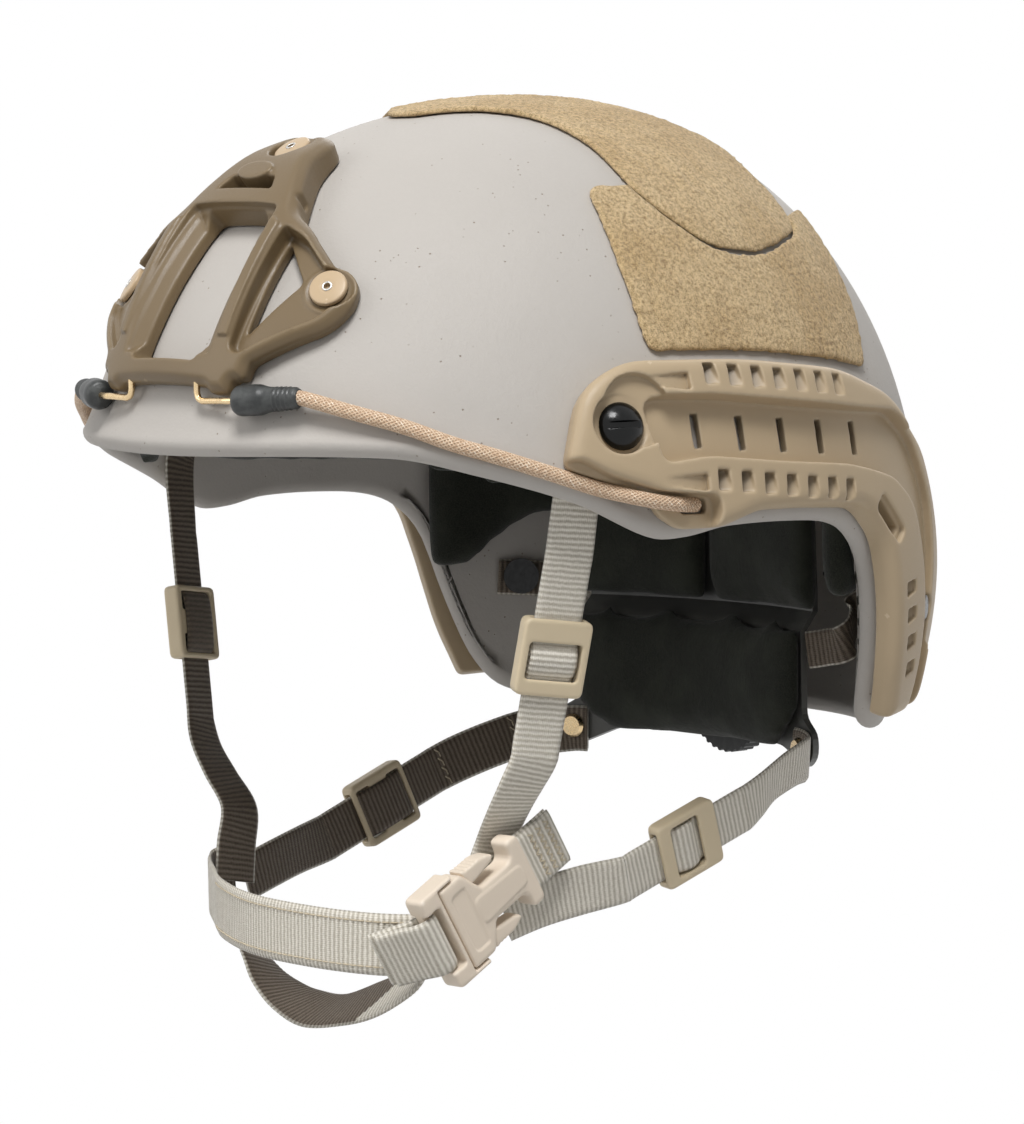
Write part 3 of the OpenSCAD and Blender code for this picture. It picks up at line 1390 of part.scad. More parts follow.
module lower_chin_band() {
    color(strap_colour)
        ribbon(lower_chin_route, lower_chin_spans, chin_w, strap_t);
}

shell();
front_shroud();
shroud_screws();
shroud_nuts();
left_rail();
right_rail();
rail_screws();
rail_nuts();
left_bungee();
right_bungee();
left_boot();
right_boot();
left_hook();
right_hook();
crown_loop_panel();
left_loop_panel();
right_loop_panel();
rear_loop_panel();
brow_pad();
crown_pad();
left_front_pad();
right_front_pad();
left_rear_pad();
right_rear_pad();
nape_cradle();
left_upper_nape_pad();
right_upper_nape_pad();
nape_pad();
dial_housing();
lace_spool();
adjuster_dial();
left_band();
right_band();
left_lace();
right_lace();
strap_studs();
left_front_strap();
right_front_strap();
left_rear_strap();
right_rear_strap();
left_front_slider();
right_front_slider();
left_rear_slider();
right_rear_slider();
buckle_tab();
buckle_female();
buckle_male();
buckle_upper_prong();
buckle_lower_prong();
chin_loop();
upper_chin_band();
lower_chin_band();
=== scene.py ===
import math

import bpy
import numpy as np
from mathutils import Matrix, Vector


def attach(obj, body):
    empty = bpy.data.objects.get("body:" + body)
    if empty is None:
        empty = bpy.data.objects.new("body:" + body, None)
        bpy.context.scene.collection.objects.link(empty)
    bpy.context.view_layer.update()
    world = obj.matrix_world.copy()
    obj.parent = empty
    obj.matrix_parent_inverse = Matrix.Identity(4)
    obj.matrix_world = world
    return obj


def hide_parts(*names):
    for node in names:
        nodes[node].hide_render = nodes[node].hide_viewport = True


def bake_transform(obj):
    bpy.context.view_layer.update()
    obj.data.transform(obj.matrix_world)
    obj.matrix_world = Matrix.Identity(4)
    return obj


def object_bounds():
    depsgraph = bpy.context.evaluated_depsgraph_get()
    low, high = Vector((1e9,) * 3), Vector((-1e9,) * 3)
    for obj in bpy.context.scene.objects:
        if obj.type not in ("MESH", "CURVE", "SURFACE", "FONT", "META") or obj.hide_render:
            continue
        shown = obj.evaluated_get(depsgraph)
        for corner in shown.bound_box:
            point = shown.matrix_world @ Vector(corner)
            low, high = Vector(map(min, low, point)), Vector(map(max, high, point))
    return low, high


# A combat helmet: moulded plastics, painted shell, loop pile, webbing and padding
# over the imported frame. Lengths are in millimetres until a mesh is made.

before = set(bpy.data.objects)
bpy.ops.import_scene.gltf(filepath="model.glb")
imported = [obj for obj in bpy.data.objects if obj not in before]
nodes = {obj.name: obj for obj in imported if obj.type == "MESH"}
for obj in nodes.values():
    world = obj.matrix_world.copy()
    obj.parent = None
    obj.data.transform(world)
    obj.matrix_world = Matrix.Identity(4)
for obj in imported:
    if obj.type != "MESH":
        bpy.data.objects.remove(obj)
cad_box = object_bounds()
MM = 0.001
RIB_PITCH = 1.7
YARN_PITCH = 0.62
STRANDS = 12
STRAND_TWIST = 4.2
BEND_ROUNDS = 40


# Camera, at the photograph's viewing angle

def heading(azimuth, elevation):
    """The way out from the middle at two angles in radians."""
    level = math.cos(elevation)
    return np.array([math.sin(azimuth) * level, -math.cos(azimuth) * level, math.sin(elevation)])


def look(azimuth, elevation, roll):
    """The right, up and back directions of a camera, from angles in degrees."""
    a, e, r = np.radians([azimuth, elevation, roll])
    back = heading(a, e)
    right = np.array([math.cos(a), math.sin(a), 0])
    up = np.cross(back, right)
    return right * math.cos(r) + up * math.sin(r), up * math.cos(r) - right * math.sin(r), back


def in_scene(name, data):
    made = bpy.data.objects.new(name, data)
    bpy.context.scene.collection.objects.link(made)
    return made


def stand(obj, axes, at):
    """Put an object at a place in metres, its own X, Y and Z along three directions."""
    obj.matrix_world = Matrix([[*row, c] for row, c in zip(np.stack(axes, 1), at)] + [[0, 0, 0, 1]])


view = look(49.695, 4.443, -0.931)
view_target = np.array([0, -0.000265, -0.041574])
view_distance = 1.7391
focal_px = 5441.1
image_height_px = 1124
sensor_mm = 36

camera_data = bpy.data.cameras.new("camera")
camera_data.sensor_width = sensor_mm
camera_data.lens = focal_px * sensor_mm / image_height_px
camera_data.clip_end = 50
camera = in_scene("camera", camera_data)
stand(camera, view, view_target + view[2] * view_distance)
bpy.context.scene.camera = camera


# Materials: node sockets that take part in arithmetic

def rgb(r, g, b):
    """A colour written as it looks on screen, turned to linear light."""
    return tuple((v / 255) ** 2.2 for v in (r, g, b)) + (1,)


class Wire:
    """An output of a shader node. Arithmetic on it adds the nodes that work it out."""

    def __init__(self, tree, socket):
        self.tree = tree
        self.socket = socket

    def add(self, kind, settings=None, inputs=None, out=0):
        """Any other node: its type, its settings, then its inputs by name or number."""
        node = self.tree.nodes.new("ShaderNode" + kind)
        for name, value in (settings or {}).items():
            setattr(node, name, value)
        for name, value in (inputs or {}).items():
            if isinstance(value, Wire):
                self.tree.links.new(value.socket, node.inputs[name])
            else:
                node.inputs[name].default_value = value
        return Wire(self.tree, node.outputs[out])

    def math(self, operation, *values):
        flat = all(not isinstance(v, tuple) and not (isinstance(v, Wire) and v.wide()) for v in values)
        if not flat:
            values = [(v, v, v) if isinstance(v, (int, float)) else v for v in values]
            values = [v[:3] if isinstance(v, tuple) else v for v in values]
        kind = "Math" if flat else "VectorMath"
        return self.add(kind, {"operation": operation}, dict(enumerate(values)))

    def wide(self):
        return self.socket.type in ("VECTOR", "RGBA")

    def __add__(self, other):
        return self.math("ADD", self, other)

    def __radd__(self, other):
        return self.math("ADD", other, self)

    def __sub__(self, other):
        return self.math("SUBTRACT", self, other)

    def __rsub__(self, other):
        return self.math("SUBTRACT", other, self)

    def __mul__(self, other):
        return self.math("MULTIPLY", self, other)

    def __rmul__(self, other):
        return self.math("MULTIPLY", other, self)

    def sin(self):
        return self.math("SINE", self)

    def most(self, other):
        return self.math("MAXIMUM", self, other)

    def part(self, axis):
        return self.add("SeparateXYZ", inputs={0: self}, out=axis)

    def ramp(self, low, high, to_low=0.0, to_high=1.0):
        """A smooth step from to_low to to_high while this goes from low to high."""
        inputs = {0: self, 1: low, 2: high, 3: to_low, 4: to_high}
        return self.add("MapRange", {"interpolation_type": "SMOOTHSTEP"}, inputs)

    def choose(self, first, second):
        """A colour between first, where this is 0, and second, where it is 1."""
        return self.add("Mix", {"data_type": "RGBA"}, {0: self, 6: first, 7: second}, out=2)

    def noise(self, scale, detail, roughness=0.5):
        return self.add("TexNoise", inputs={
            "Vector": self, "Scale": scale, "Detail": detail, "Roughness": roughness
        })

    def cells(self, scale):
        return self.add("TexVoronoi", inputs={"Vector": self, "Scale": scale})


class Paint:
    """A material being made. place is the object's coordinate in millimetres."""

    def __init__(self, name, **fixed):
        self.material = bpy.data.materials.new(name)
        self.material.use_nodes = True
        self.tree = self.material.node_tree
        self.shader = self.tree.nodes["Principled BSDF"]
        for socket, value in fixed.items():
            self.shader.inputs[socket.replace("_", " ")].default_value = value
        coordinates = self.tree.nodes.new("ShaderNodeTexCoord")
        self.place = Wire(self.tree, coordinates.outputs["Object"]) * (1 / MM)

    def lay(self):
        """Where a point lies on webbing or a cord: across, along and which face. On the rails, the first
        value is painted shade for the recesses.
        """
        attribute = self.tree.nodes.new("ShaderNodeAttribute")
        attribute.attribute_name = "lay"
        return Wire(self.tree, attribute.outputs["Vector"])

    def edges(self):
        geometry = self.tree.nodes.new("ShaderNodeNewGeometry")
        return Wire(self.tree, geometry.outputs["Pointiness"])

    def set(self, socket, value):
        if isinstance(value, Wire):
            self.tree.links.new(value.socket, self.shader.inputs[socket])
        else:
            self.shader.inputs[socket].default_value = value

    def bump(self, height, depth):
        """A bump whose height of 1 stands depth millimetres high."""
        normal = height.add("Bump", inputs={"Height": height, "Strength": 1.0, "Distance": depth * MM})
        self.set("Normal", normal)


def shell_paint():
    p = Paint("shell_paint", Specular_IOR_Level=0.35)
    grain = p.place.noise(1.1, 3.0, 0.6)
    cloud = p.place.noise(0.02, 3.0)
    pits = p.place.cells(0.33).ramp(0.07, 0.12)
    sparse = p.place.noise(0.035, 3.0).ramp(0.44, 0.5, 1.0, 0.0)
    some = p.place.noise(0.3, 1.0).ramp(0.5, 0.54, 1.0, 0.0)
    marks = pits.most(sparse).most(some)
    colour = cloud.choose(rgb(176, 171, 165), rgb(187, 182, 176))
    colour = marks.choose(rgb(146, 134, 122), colour)
    p.set("Base Color", colour)
    p.set("Roughness", grain.ramp(0.3, 0.7, 0.6, 0.74))
    p.bump(grain * 0.5 + marks * 0.9 + p.place.noise(0.35, 2.0) * 0.6, 0.16)
    return p.material


def moulded(name, colour, light, roughness):
    """Moulded plastic: painted shade darkens its hollows and the recesses its lay values mark; lighter on
    worn edges.
    """
    p = Paint(name, Specular_IOR_Level=0.4)
    cloud = p.place.noise(0.06, 3.0)
    fine = p.place.noise(2.6, 2.0, 0.6)
    body = cloud.choose(tuple(v * 0.93 for v in colour[:3]) + (1,), colour)
    # Painted shade: concave edges, and on the rails the recesses, are darkened towards a third of the colour.
    painted_shade_share = p.edges().ramp(0.42, 0.49, 0.65, 0.0).most(p.lay().part(0) * 0.85)
    body = painted_shade_share.choose(body, tuple(v * 0.3 for v in colour[:3]) + (1,))
    worn = p.edges().ramp(0.51, 0.58) * 0.55
    p.set("Base Color", worn.choose(body, light))
    p.set("Roughness", fine.ramp(0.3, 0.7, roughness - 0.04, roughness + 0.08))
    p.bump(fine, 0.035)
    return p.material


def loop_pile():
    p = Paint("loop_pile", Sheen_Weight=0.25, Sheen_Roughness=0.6, Specular_IOR_Level=0.15)
    tuft = p.place.noise(0.85, 3.0, 0.65)
    fibre = p.place.noise(3.4, 3.0, 0.7)
    cloud = p.place.noise(0.045, 3.0)
    deep = (tuft * 0.6 + fibre * 0.4).ramp(0.32, 0.62)
    colour = deep.choose(rgb(138, 108, 66), rgb(218, 187, 136))
    colour = cloud.ramp(0.35, 0.65).choose(colour, deep.choose(rgb(148, 118, 74), rgb(232, 204, 156)))
    p.set("Base Color", colour)
    p.set("Roughness", 0.95)
    p.bump(tuft * 0.6 + fibre * 0.5, 0.9)
    return p.material


def webbing():
    """Ribbed webbing: ribs across it, fine yarns along it, another colour on its inner face."""
    p = Paint("webbing", Specular_IOR_Level=0.35, Sheen_Weight=0.1)
    lay = p.lay()
    across, along, face = lay.part(0), lay.part(1), lay.part(2)
    waver = p.place.noise(0.35, 2.0) * 0.5
    ribs = ((along + waver) * (2 * math.pi / RIB_PITCH)).sin() * 0.5 + 0.5
    yarns = (across * (2 * math.pi / YARN_PITCH)).sin() * 0.5 + 0.5
    speck = p.place.noise(1.9, 3.0, 0.75)
    fibre = p.place.noise(4.5, 2.0, 0.8)
    weave = ribs * 0.3 + yarns * 0.12 + speck * 0.55 + fibre * 0.5
    tone = weave.ramp(0.45, 1.0)
    outer = tone.choose(rgb(172, 164, 148), rgb(238, 233, 222))
    outer = (fibre.ramp(0.58, 0.72) * ribs * 0.6).choose(outer, rgb(242, 238, 230))
    inner = tone.choose(rgb(64, 55, 46), rgb(118, 106, 92))
    p.set("Base Color", face.ramp(-0.5, 0.5).choose(inner, outer))
    p.set("Roughness", tone.ramp(0.0, 1.0, 0.75, 0.45))
    p.bump(ribs * 0.6 + yarns * 0.25 + speck * 0.4 + fibre * 0.3, 0.22)
    return p.material


def braid():
    p = Paint("braid", Specular_IOR_Level=0.5)
    lay = p.lay()
    turn, along = lay.part(0), lay.part(1)
    one = (turn * STRANDS + along * STRAND_TWIST).sin()
    two = (turn * STRANDS - along * STRAND_TWIST).sin()
    strands = one.most(two)
    streaks = p.place.noise(0.9, 3.0, 0.7)
    fleck = streaks.ramp(0.52, 0.66) * two.ramp(0.3, 0.9)
    colour = strands.ramp(-0.3, 0.9).choose(rgb(184, 148, 118), rgb(234, 208, 178))
    colour = streaks.ramp(0.3, 0.6).choose(rgb(194, 160, 130), colour)
    p.set("Base Color", fleck.choose(colour, rgb(250, 238, 222)))
    p.set("Roughness", strands.ramp(0.0, 1.0, 0.6, 0.4))
    p.bump(strands, 0.14)
    return p.material


def worn(name, scale, dark, light, rough, bump_scale, depth, detail=3.0, shades=None, **fixed):
    """A plain finish whose colour and gloss go with one noise."""
    p = Paint(name, **fixed)
    wear = p.place.noise(scale, detail)
    shade = wear.ramp(*shades) if shades else wear
    p.set("Base Color", shade.choose(rgb(*dark), rgb(*light)))
    p.set("Roughness", wear.ramp(0.3, 0.7, *rough))
    p.bump(p.place.noise(bump_scale, 2.0), depth)
    return p.material


def pad_cloth():
    p = Paint("pad_cloth", Sheen_Weight=0.15, Sheen_Roughness=0.5, Specular_IOR_Level=0.2)
    nap = p.place.noise(2.2, 3.0, 0.7)
    cloud = p.place.noise(0.06, 3.0)
    colour = nap.ramp(0.3, 0.7).choose(rgb(24, 25, 21), rgb(48, 50, 43))
    p.set("Base Color", cloud.ramp(0.4, 0.7).choose(colour, nap.choose(rgb(36, 38, 32), rgb(58, 60, 52))))
    p.set("Roughness", nap.ramp(0.3, 0.7, 0.8, 0.95))
    p.bump(nap * 0.7 + p.place.noise(0.5, 2.0) * 0.5, 0.3)
    return p.material


def lace_cord():
    p = Paint("lace_cord", Specular_IOR_Level=0.3)
    twist = (p.place.part(2) * 3.0 + p.place.part(0) * 3.0).sin() * 0.5 + 0.5
    p.set("Base Color", twist.choose(rgb(24, 22, 20), rgb(56, 52, 47)))
    p.set("Roughness", twist.ramp(0.0, 1.0, 0.8, 0.6))
    p.bump(twist, 0.2)
    return p.material


paint = {
    "shell": shell_paint(),
    "shroud": moulded("shroud_plastic", rgb(114, 97, 72), rgb(154, 136, 108), 0.38),
    "rail": moulded("rail_plastic", rgb(180, 160, 131), rgb(206, 188, 161), 0.44),
    "hardware": moulded("hardware_plastic", rgb(230, 215, 196), rgb(242, 231, 216), 0.42),
    "slider": moulded("slider_plastic", rgb(212, 195, 164), rgb(230, 216, 190), 0.42),
    "screw_tan": moulded("tan_enamel", rgb(190, 166, 134), rgb(212, 192, 164), 0.34),
    "grey_plastic": moulded("grey_plastic", rgb(72, 72, 70), rgb(104, 104, 100), 0.36),
    "black_plastic": moulded("black_plastic", rgb(32, 33, 33), rgb(58, 59, 59), 0.42),
    "loop": loop_pile(),
    "webbing": webbing(),
    "bungee": braid(),
    "boot": worn(
        "rubber", 0.35, (42, 44, 44), (66, 68, 67), (0.36, 0.5), 2.5, 0.05,
        shades=(0.35, 0.7), Specular_IOR_Level=0.5
    ),
    "black_metal": worn(
        "gloss_black", 0.8, (10, 11, 11), (20, 21, 21), (0.14, 0.26), 0.5, 0.04, Specular_IOR_Level=0.28
    ),
    "wire": worn(
        "gold_wire", 0.9, (206, 176, 132), (238, 214, 172), (0.2, 0.36), 1.5, 0.03, Metallic=1.0
    ),
    "steel": worn(
        "steel", 1.6, (170, 168, 164), (222, 220, 216), (0.25, 0.42), 2.5, 0.03, Metallic=1.0
    ),
    "pad": pad_cloth(),
    "lace": lace_cord(),
    "thread": worn(
        "thread", 3.0, (168, 152, 124), (226, 214, 190), (0.5, 0.7), 3.0, 0.08,
        detail=2.0, Specular_IOR_Level=0.4
    ),
}


# Numbers and curves

def unit(v):
    v = np.asarray(v, float)
    return v / np.maximum(np.linalg.norm(v, axis=-1, keepdims=True), 1e-12)


def curve(keys, t):
    """A smooth value through keys (position, value)."""
    k = np.asarray(keys, float)
    slope = np.zeros(len(k))
    slope[1:-1] = (k[2:, 1] - k[:-2, 1]) / (k[2:, 0] - k[:-2, 0])
    i = np.clip(np.searchsorted(k[:, 0], t, side="right") - 1, 0, len(k) - 2)
    h = k[i + 1, 0] - k[i, 0]
    s = np.clip((t - k[i, 0]) / h, 0, 1)
    a = 2 * s**3 - 3 * s**2
    b = s**3 - 2 * s**2 + s
    c = s**3 - s**2
    return (a + 1) * k[i, 1] + b * h * slope[i] - a * k[i + 1, 1] + c * h * slope[i + 1]


def along(points, s):
    """Points on the smooth line through a list of points, one unit of s for each."""
    p = np.asarray(points, float)
    s = np.asarray(s, float)
    i = np.clip(np.floor(s).astype(int), 0, len(p) - 2)
    u = (s - i)[..., None]
    a, b = p[np.maximum(i - 1, 0)], p[i]
    c, d = p[i + 1], p[np.minimum(i + 2, len(p) - 1)]
    return b + 0.5 * u * (c - a + u * (2 * a - 5 * b + 4 * c - d + u * (3 * (b - c) + d - a)))


def rounded(corners, steps=4):
    """An outline from corners (u, v, setback), each corner rounded from its setback."""
    c = np.array(corners, float)
    points = []
    for before, here, after in zip(np.roll(c, 1, 0), c, np.roll(c, -1, 0)):
        b = here[:2]
        back, ahead = before[:2] - b, after[:2] - b
        r = min(here[2], 0.48 * np.linalg.norm(back), 0.48 * np.linalg.norm(ahead))
        p, q = b + r * unit(back), b + r * unit(ahead)
        for s in np.linspace(0, 1, steps + 1):
            points.append((1 - s) ** 2 * p + 2 * s * (1 - s) * b + s * s * q)
    return np.array(points)


def mirrored(corners, flip=(-1, 1)):
    """Corners and, running back, the same corners on the other side."""
    return list(corners) + [(flip[0] * u, flip[1] * v, r) for u, v, r in reversed(corners)]


def patchy(u, v, size, seed):
    """Smooth random heights from 0 to 1 whose bumps are about size wide."""
    lattice = np.random.default_rng(seed).random((256, 256))
    x, y = u / size + 100, v / size + 100
    i, j = np.floor(x).astype(int), np.floor(y).astype(int)
    s, t = x - i, y - j
    s, t = s * s * (3 - 2 * s), t * t * (3 - 2 * t)
    at = [[lattice[(i + a) % 256, (j + b) % 256] for b in (0, 1)] for a in (0, 1)]
    low = at[0][0] * (1 - t) + at[0][1] * t
    high = at[1][0] * (1 - t) + at[1][1] * t
    return low * (1 - s) + high * s


# The outer skin of the shell

HALF_W, FRONT, BACK = 120.0, 144.5, 133.0
RISE, MID, POWER = 147.0, -42.0, 2.17
TUCK, TUCK_FROM, TUCK_TO = 6.0, -10.0, -97.0
WALL = 8.0
CROWN = RISE + MID


def spow(v, e):
    """A power that keeps its number's sign."""
    return np.sign(v) * np.abs(v) ** e


def tucked(z):
    """How much the skin draws in towards its lower edge, as a factor."""
    s = np.maximum(0, TUCK_FROM - z) / (TUCK_FROM - TUCK_TO)
    return 1 - TUCK / HALF_W * s * s


def deep(y):
    """The skin's reach from its middle, forwards or backwards."""
    return np.where(y < 0, FRONT, BACK)


def skin_base(az, z):
    """A point of the skin at an azimuth from the front, in degrees, and a level."""
    a = np.radians(az)
    width = np.maximum(0, 1 - (np.abs(z - MID) / RISE) ** POWER) ** (1 / POWER) * tucked(z)
    depth = np.where(np.cos(a) > 0, FRONT, BACK)
    flat = (np.abs(np.sin(a)) / HALF_W) ** POWER + (np.abs(np.cos(a)) / depth) ** POWER
    r = width / flat ** (1 / POWER)
    return np.stack(np.broadcast_arrays(r * np.sin(a), -r * np.cos(a), z), -1)


def normal_at(p):
    e = POWER - 1
    return unit(np.stack([
        spow(p[..., 0], e) / HALF_W**POWER,
        spow(p[..., 1], e) / deep(p[..., 1]) ** POWER,
        spow(p[..., 2] - MID, e) / RISE**POWER,
    ], -1))


def skin(az, z, d):
    base = skin_base(np.asarray(az, float), np.asarray(z, float))
    return base + np.asarray(d, float)[..., None] * normal_at(base)


def tier(f):
    """Levels at even steps over the curve of the skin, f in degrees."""
    return MID + RISE * spow(np.sin(np.radians(f)), 2 / POWER)


def tier_angle(z):
    return np.degrees(np.arcsin(spow((z - MID) / RISE, POWER / 2)))


def outside(p):
    """Below zero inside the skin and above zero outside it."""
    flat = (np.abs(p[..., 0]) / HALF_W) ** POWER + (np.abs(p[..., 1]) / deep(p[..., 1])) ** POWER
    return flat / tucked(p[..., 2]) ** POWER + (np.abs(p[..., 2] - MID) / RISE) ** POWER - 1


def hit(start, way):
    """Where rays from inside the skin meet it."""
    farthest, halvings = 320, 36
    low = np.zeros(np.broadcast_shapes(start.shape, way.shape)[:-1])
    high = low + farthest
    for _ in range(halvings):
        middle = (low + high) / 2
        inside = outside(start + middle[..., None] * way) < 0
        low, high = np.where(inside, middle, low), np.where(inside, high, middle)
    return start + low[..., None] * way


def reach(u, v, a, b, d):
    """Reach of the skin, raised by d, at two other coordinates."""
    w = 1 - (np.abs(u) / (b + d)) ** POWER - (np.abs(v - MID) / (RISE + d)) ** POWER
    return (a + d) * np.maximum(0.001, w) ** (1 / POWER)


class FlatPatch:
    """Flat coordinates u, v on the skin, seen along a direction."""

    def __init__(self, u_way, v_way, draft_eye, outline_lift):
        self.u_way, self.v_way = unit(u_way), unit(v_way)
        self.out = np.cross(self.u_way, self.v_way)
        self.draft_eye = np.array(draft_eye, float)
        self.lift = outline_lift

    def to_skin(self, u, v):
        start = self.draft_eye + u[..., None] * self.u_way + v[..., None] * self.v_way
        return hit(start, self.out)

    def from_skin(self, p):
        q = p - self.draft_eye
        return np.stack([q @ self.u_way, q @ self.v_way], -1)

    def front(self, outline):
        """An outline seen from the front, with walls drawn in towards the eye."""
        x, z = outline[:, 0], outline[:, 1]
        p = np.stack([x, -reach(x, z, FRONT, HALF_W, self.lift), z], -1)
        return self.drawn(p)

    def side(self, outline):
        """An outline seen from the wearer's left, with walls drawn in towards the eye."""
        y, z = outline[:, 0], outline[:, 1]
        p = np.stack([reach(y, z, HALF_W, deep(y), self.lift), y, z], -1)
        return self.drawn(p)

    def top(self, outline):
        """An outline seen from above."""
        x, y = outline[:, 0], outline[:, 1]
        w = 1 - (np.abs(x) / HALF_W) ** POWER - (np.abs(y) / deep(y)) ** POWER
        return self.from_skin(np.stack([x, y, MID + RISE * w ** (1 / POWER)], -1))

    def drawn(self, p):
        return self.from_skin(hit(self.draft_eye, unit(p - self.draft_eye)))

    def lifted(self, u, v, d):
        base = self.to_skin(u, v)
        way = unit(base - self.draft_eye)
        square = np.sum(way * normal_at(base), -1)
        return base + (d / square)[..., None] * way


class RoundPatch(FlatPatch):
    """Coordinates round the head: u along the azimuth, v the level."""

    per_degree = 2.2

    def to_skin(self, u, v):
        return skin_base(u / self.per_degree, v)

    def from_skin(self, p):
        azimuth = np.degrees(np.arctan2(p[..., 0], -p[..., 1]))
        return np.stack([azimuth * self.per_degree, p[..., 2]], -1)


# Solids from fields: below zero inside, above zero outside

def meet(a, b, r=0.0):
    """Where both are; the edge between them is rounded over about r."""
    if not r:
        return np.maximum(a, b)
    h = np.maximum(r - np.abs(a - b), 0) / r
    return np.maximum(a, b) + h * h * r / 4


def join(a, b, r):
    return -meet(-a, -b, r)


def carve(body, cut, r):
    return meet(body, -cut, r)


def inside_outline(points, u, v):
    """Distance to a closed outline, below zero inside it."""
    best = np.full(u.shape, np.inf)
    within = np.zeros(u.shape, bool)
    for (ax, ay), (bx, by) in zip(points, np.roll(points, -1, 0)):
        ex, ey = bx - ax, by - ay
        long = ex * ex + ey * ey
        if long < 1e-12:
            continue
        wu, wv = u - ax, v - ay
        t = np.clip((wu * ex + wv * ey) / long, 0, 1)
        best = np.minimum(best, (wu - t * ex) ** 2 + (wv - t * ey) ** 2)
        if ay != by:
            within ^= ((ay <= v) != (by <= v)) & (u < ax + (v - ay) / (by - ay) * ex)
    return np.where(within, -1, 1) * np.sqrt(best)


def box_field(x, y, z, low, high, r):
    """A box with rounded edges."""
    low, high = np.array(low, float), np.array(high, float)
    middle, half = (low + high) / 2, (high - low) / 2 - r
    q = [np.abs(c - m) - h for c, m, h in zip((x, y, z), middle, half)]
    far = sum(np.maximum(c, 0) ** 2 for c in q) ** 0.5
    return far + np.minimum(np.maximum(np.maximum(q[0], q[1]), q[2]), 0) - r


def cut_boxes(body, at, boxes):
    """Cut boxes (low, high, rounding, rounding of the cut's rim) out of a body, in turn."""
    for low, high, r, rim in boxes:
        body = carve(body, box_field(*at, low, high, r), rim)
    return body


def surface(field, low, step):
    """Vertices and four-sided faces of the surface where a field crosses zero."""
    inside = field < 0
    cells = tuple(n - 1 for n in field.shape)
    total = np.zeros((*cells, 3))
    count = np.zeros(cells)
    crossings = []
    for axis in range(3):
        n = field.shape[axis]
        a, b = np.take(field, range(n - 1), axis), np.take(field, range(1, n), axis)
        change = np.take(inside, range(n - 1), axis) != np.take(inside, range(1, n), axis)
        crossings.append(change)
        share = np.where(change, a / np.where(change, a - b, 1), 0)
        others = [k for k in range(3) if k != axis]
        for i in (0, 1):
            for j in (0, 1):
                cut = [slice(None)] * 3
                cut[others[0]] = slice(i, i + cells[others[0]])
                cut[others[1]] = slice(j, j + cells[others[1]])
                here = change[tuple(cut)]
                total[..., axis] += share[tuple(cut)]
                total[..., others[0]] += i * here
                total[..., others[1]] += j * here
                count += here
    full = count > 0
    numbers = np.full(cells, -1)
    numbers[full] = np.arange(full.sum())
    points = (np.argwhere(full) + total[full] / count[full][:, None]) * step + np.array(low)
    faces = []
    for axis, change in enumerate(crossings):
        others = [k for k in range(3) if k != axis]
        core = [slice(None)] * 3
        core[others[0]] = slice(1, -1)
        core[others[1]] = slice(1, -1)
        where = np.argwhere(change[tuple(core)])
        start = inside[tuple(core)][tuple(where.T)]
        ring = []
        for i, j in ((0, 0), (1, 0), (1, 1), (0, 1)):
            spot = where.copy()
            spot[:, others[0]] += i
            spot[:, others[1]] += j
            ring.append(numbers[tuple(spot.T)])
        quads = np.stack(ring, 1)
        forward = start != (axis == 1)
        faces.append(np.where(forward[:, None], quads, quads[:, ::-1]))
    return points, np.concatenate(faces)


def relaxed(points, faces):
    """Points moved halfway to the middle of their neighbours, to take out small steps."""
    edges = np.concatenate([faces[:, [k, (k + 1) % 4]] for k in range(4)])
    total, count = np.zeros_like(points), np.zeros(len(points))
    for a, b in ((0, 1), (1, 0)):
        np.add.at(total, edges[:, a], points[edges[:, b]])
        np.add.at(count, edges[:, a], 1)
    return points + 0.5 * (total / count[:, None] - points)


def moulding(patch, field, u_span, v_span, d_span, step, painted_shade=None):
    """A moulded solid on a patch of the skin, and how much painted shade its points hold."""
    axes = [np.arange(a, b + step, step) for a, b in (u_span, v_span, d_span)]
    u, v = np.meshgrid(axes[0], axes[1], indexing="ij")
    solid = field(u[..., None], v[..., None], axes[2][None, None, :])
    low = [axis[0] for axis in axes]
    points, faces = surface(solid, low, step)
    points = relaxed(points, faces)
    made = patch.lifted(points[:, 0], points[:, 1], points[:, 2]), faces
    if painted_shade is None:
        return made
    return *made, np.outer(painted_shade(*points.T), (1, 0, 0))


def block(field, low, high, step):
    """A solid in its own square frame."""
    axes = [np.arange(a, b + step, step) for a, b in zip(low, high)]
    grid = np.meshgrid(*axes, indexing="ij")
    points, faces = surface(field(*grid), [axis[0] for axis in axes], step)
    return relaxed(points, faces), faces


# Meshes and pieces

def piece(name, points, faces, material, body, replaces=(), slot=None, lay=None):
    """A finished piece of the scene, from points in millimetres."""
    mesh = bpy.data.meshes.new(name)
    sizes = np.array([len(f) for f in faces])
    loops = np.concatenate([np.asarray(f) for f in faces])
    mesh.vertices.add(len(points))
    mesh.vertices.foreach_set("co", (np.asarray(points) * MM).astype(np.float32).ravel())
    mesh.loops.add(len(loops))
    mesh.loops.foreach_set("vertex_index", loops.astype(np.int32))
    mesh.polygons.add(len(sizes))
    starts = np.concatenate([[0], np.cumsum(sizes)[:-1]])
    mesh.polygons.foreach_set("loop_start", starts.astype(np.int32))
    mesh.update(calc_edges=True)
    mesh.polygons.foreach_set("use_smooth", np.ones(len(sizes), bool))
    if lay is not None:
        attribute = mesh.attributes.new("lay", "FLOAT_VECTOR", "POINT")
        attribute.data.foreach_set("vector", np.asarray(lay, np.float32).ravel())
    mesh.validate()
    mesh.materials.append(paint[material])
    made = in_scene(name, mesh)
    if body:
        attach(made, body)
    if replaces:
        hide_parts(*replaces)
    return made


def turned_over(faces):
    """The same faces, looking the other way."""
    return faces[:, ::-1] if isinstance(faces, np.ndarray) else [f[::-1] for f in faces]


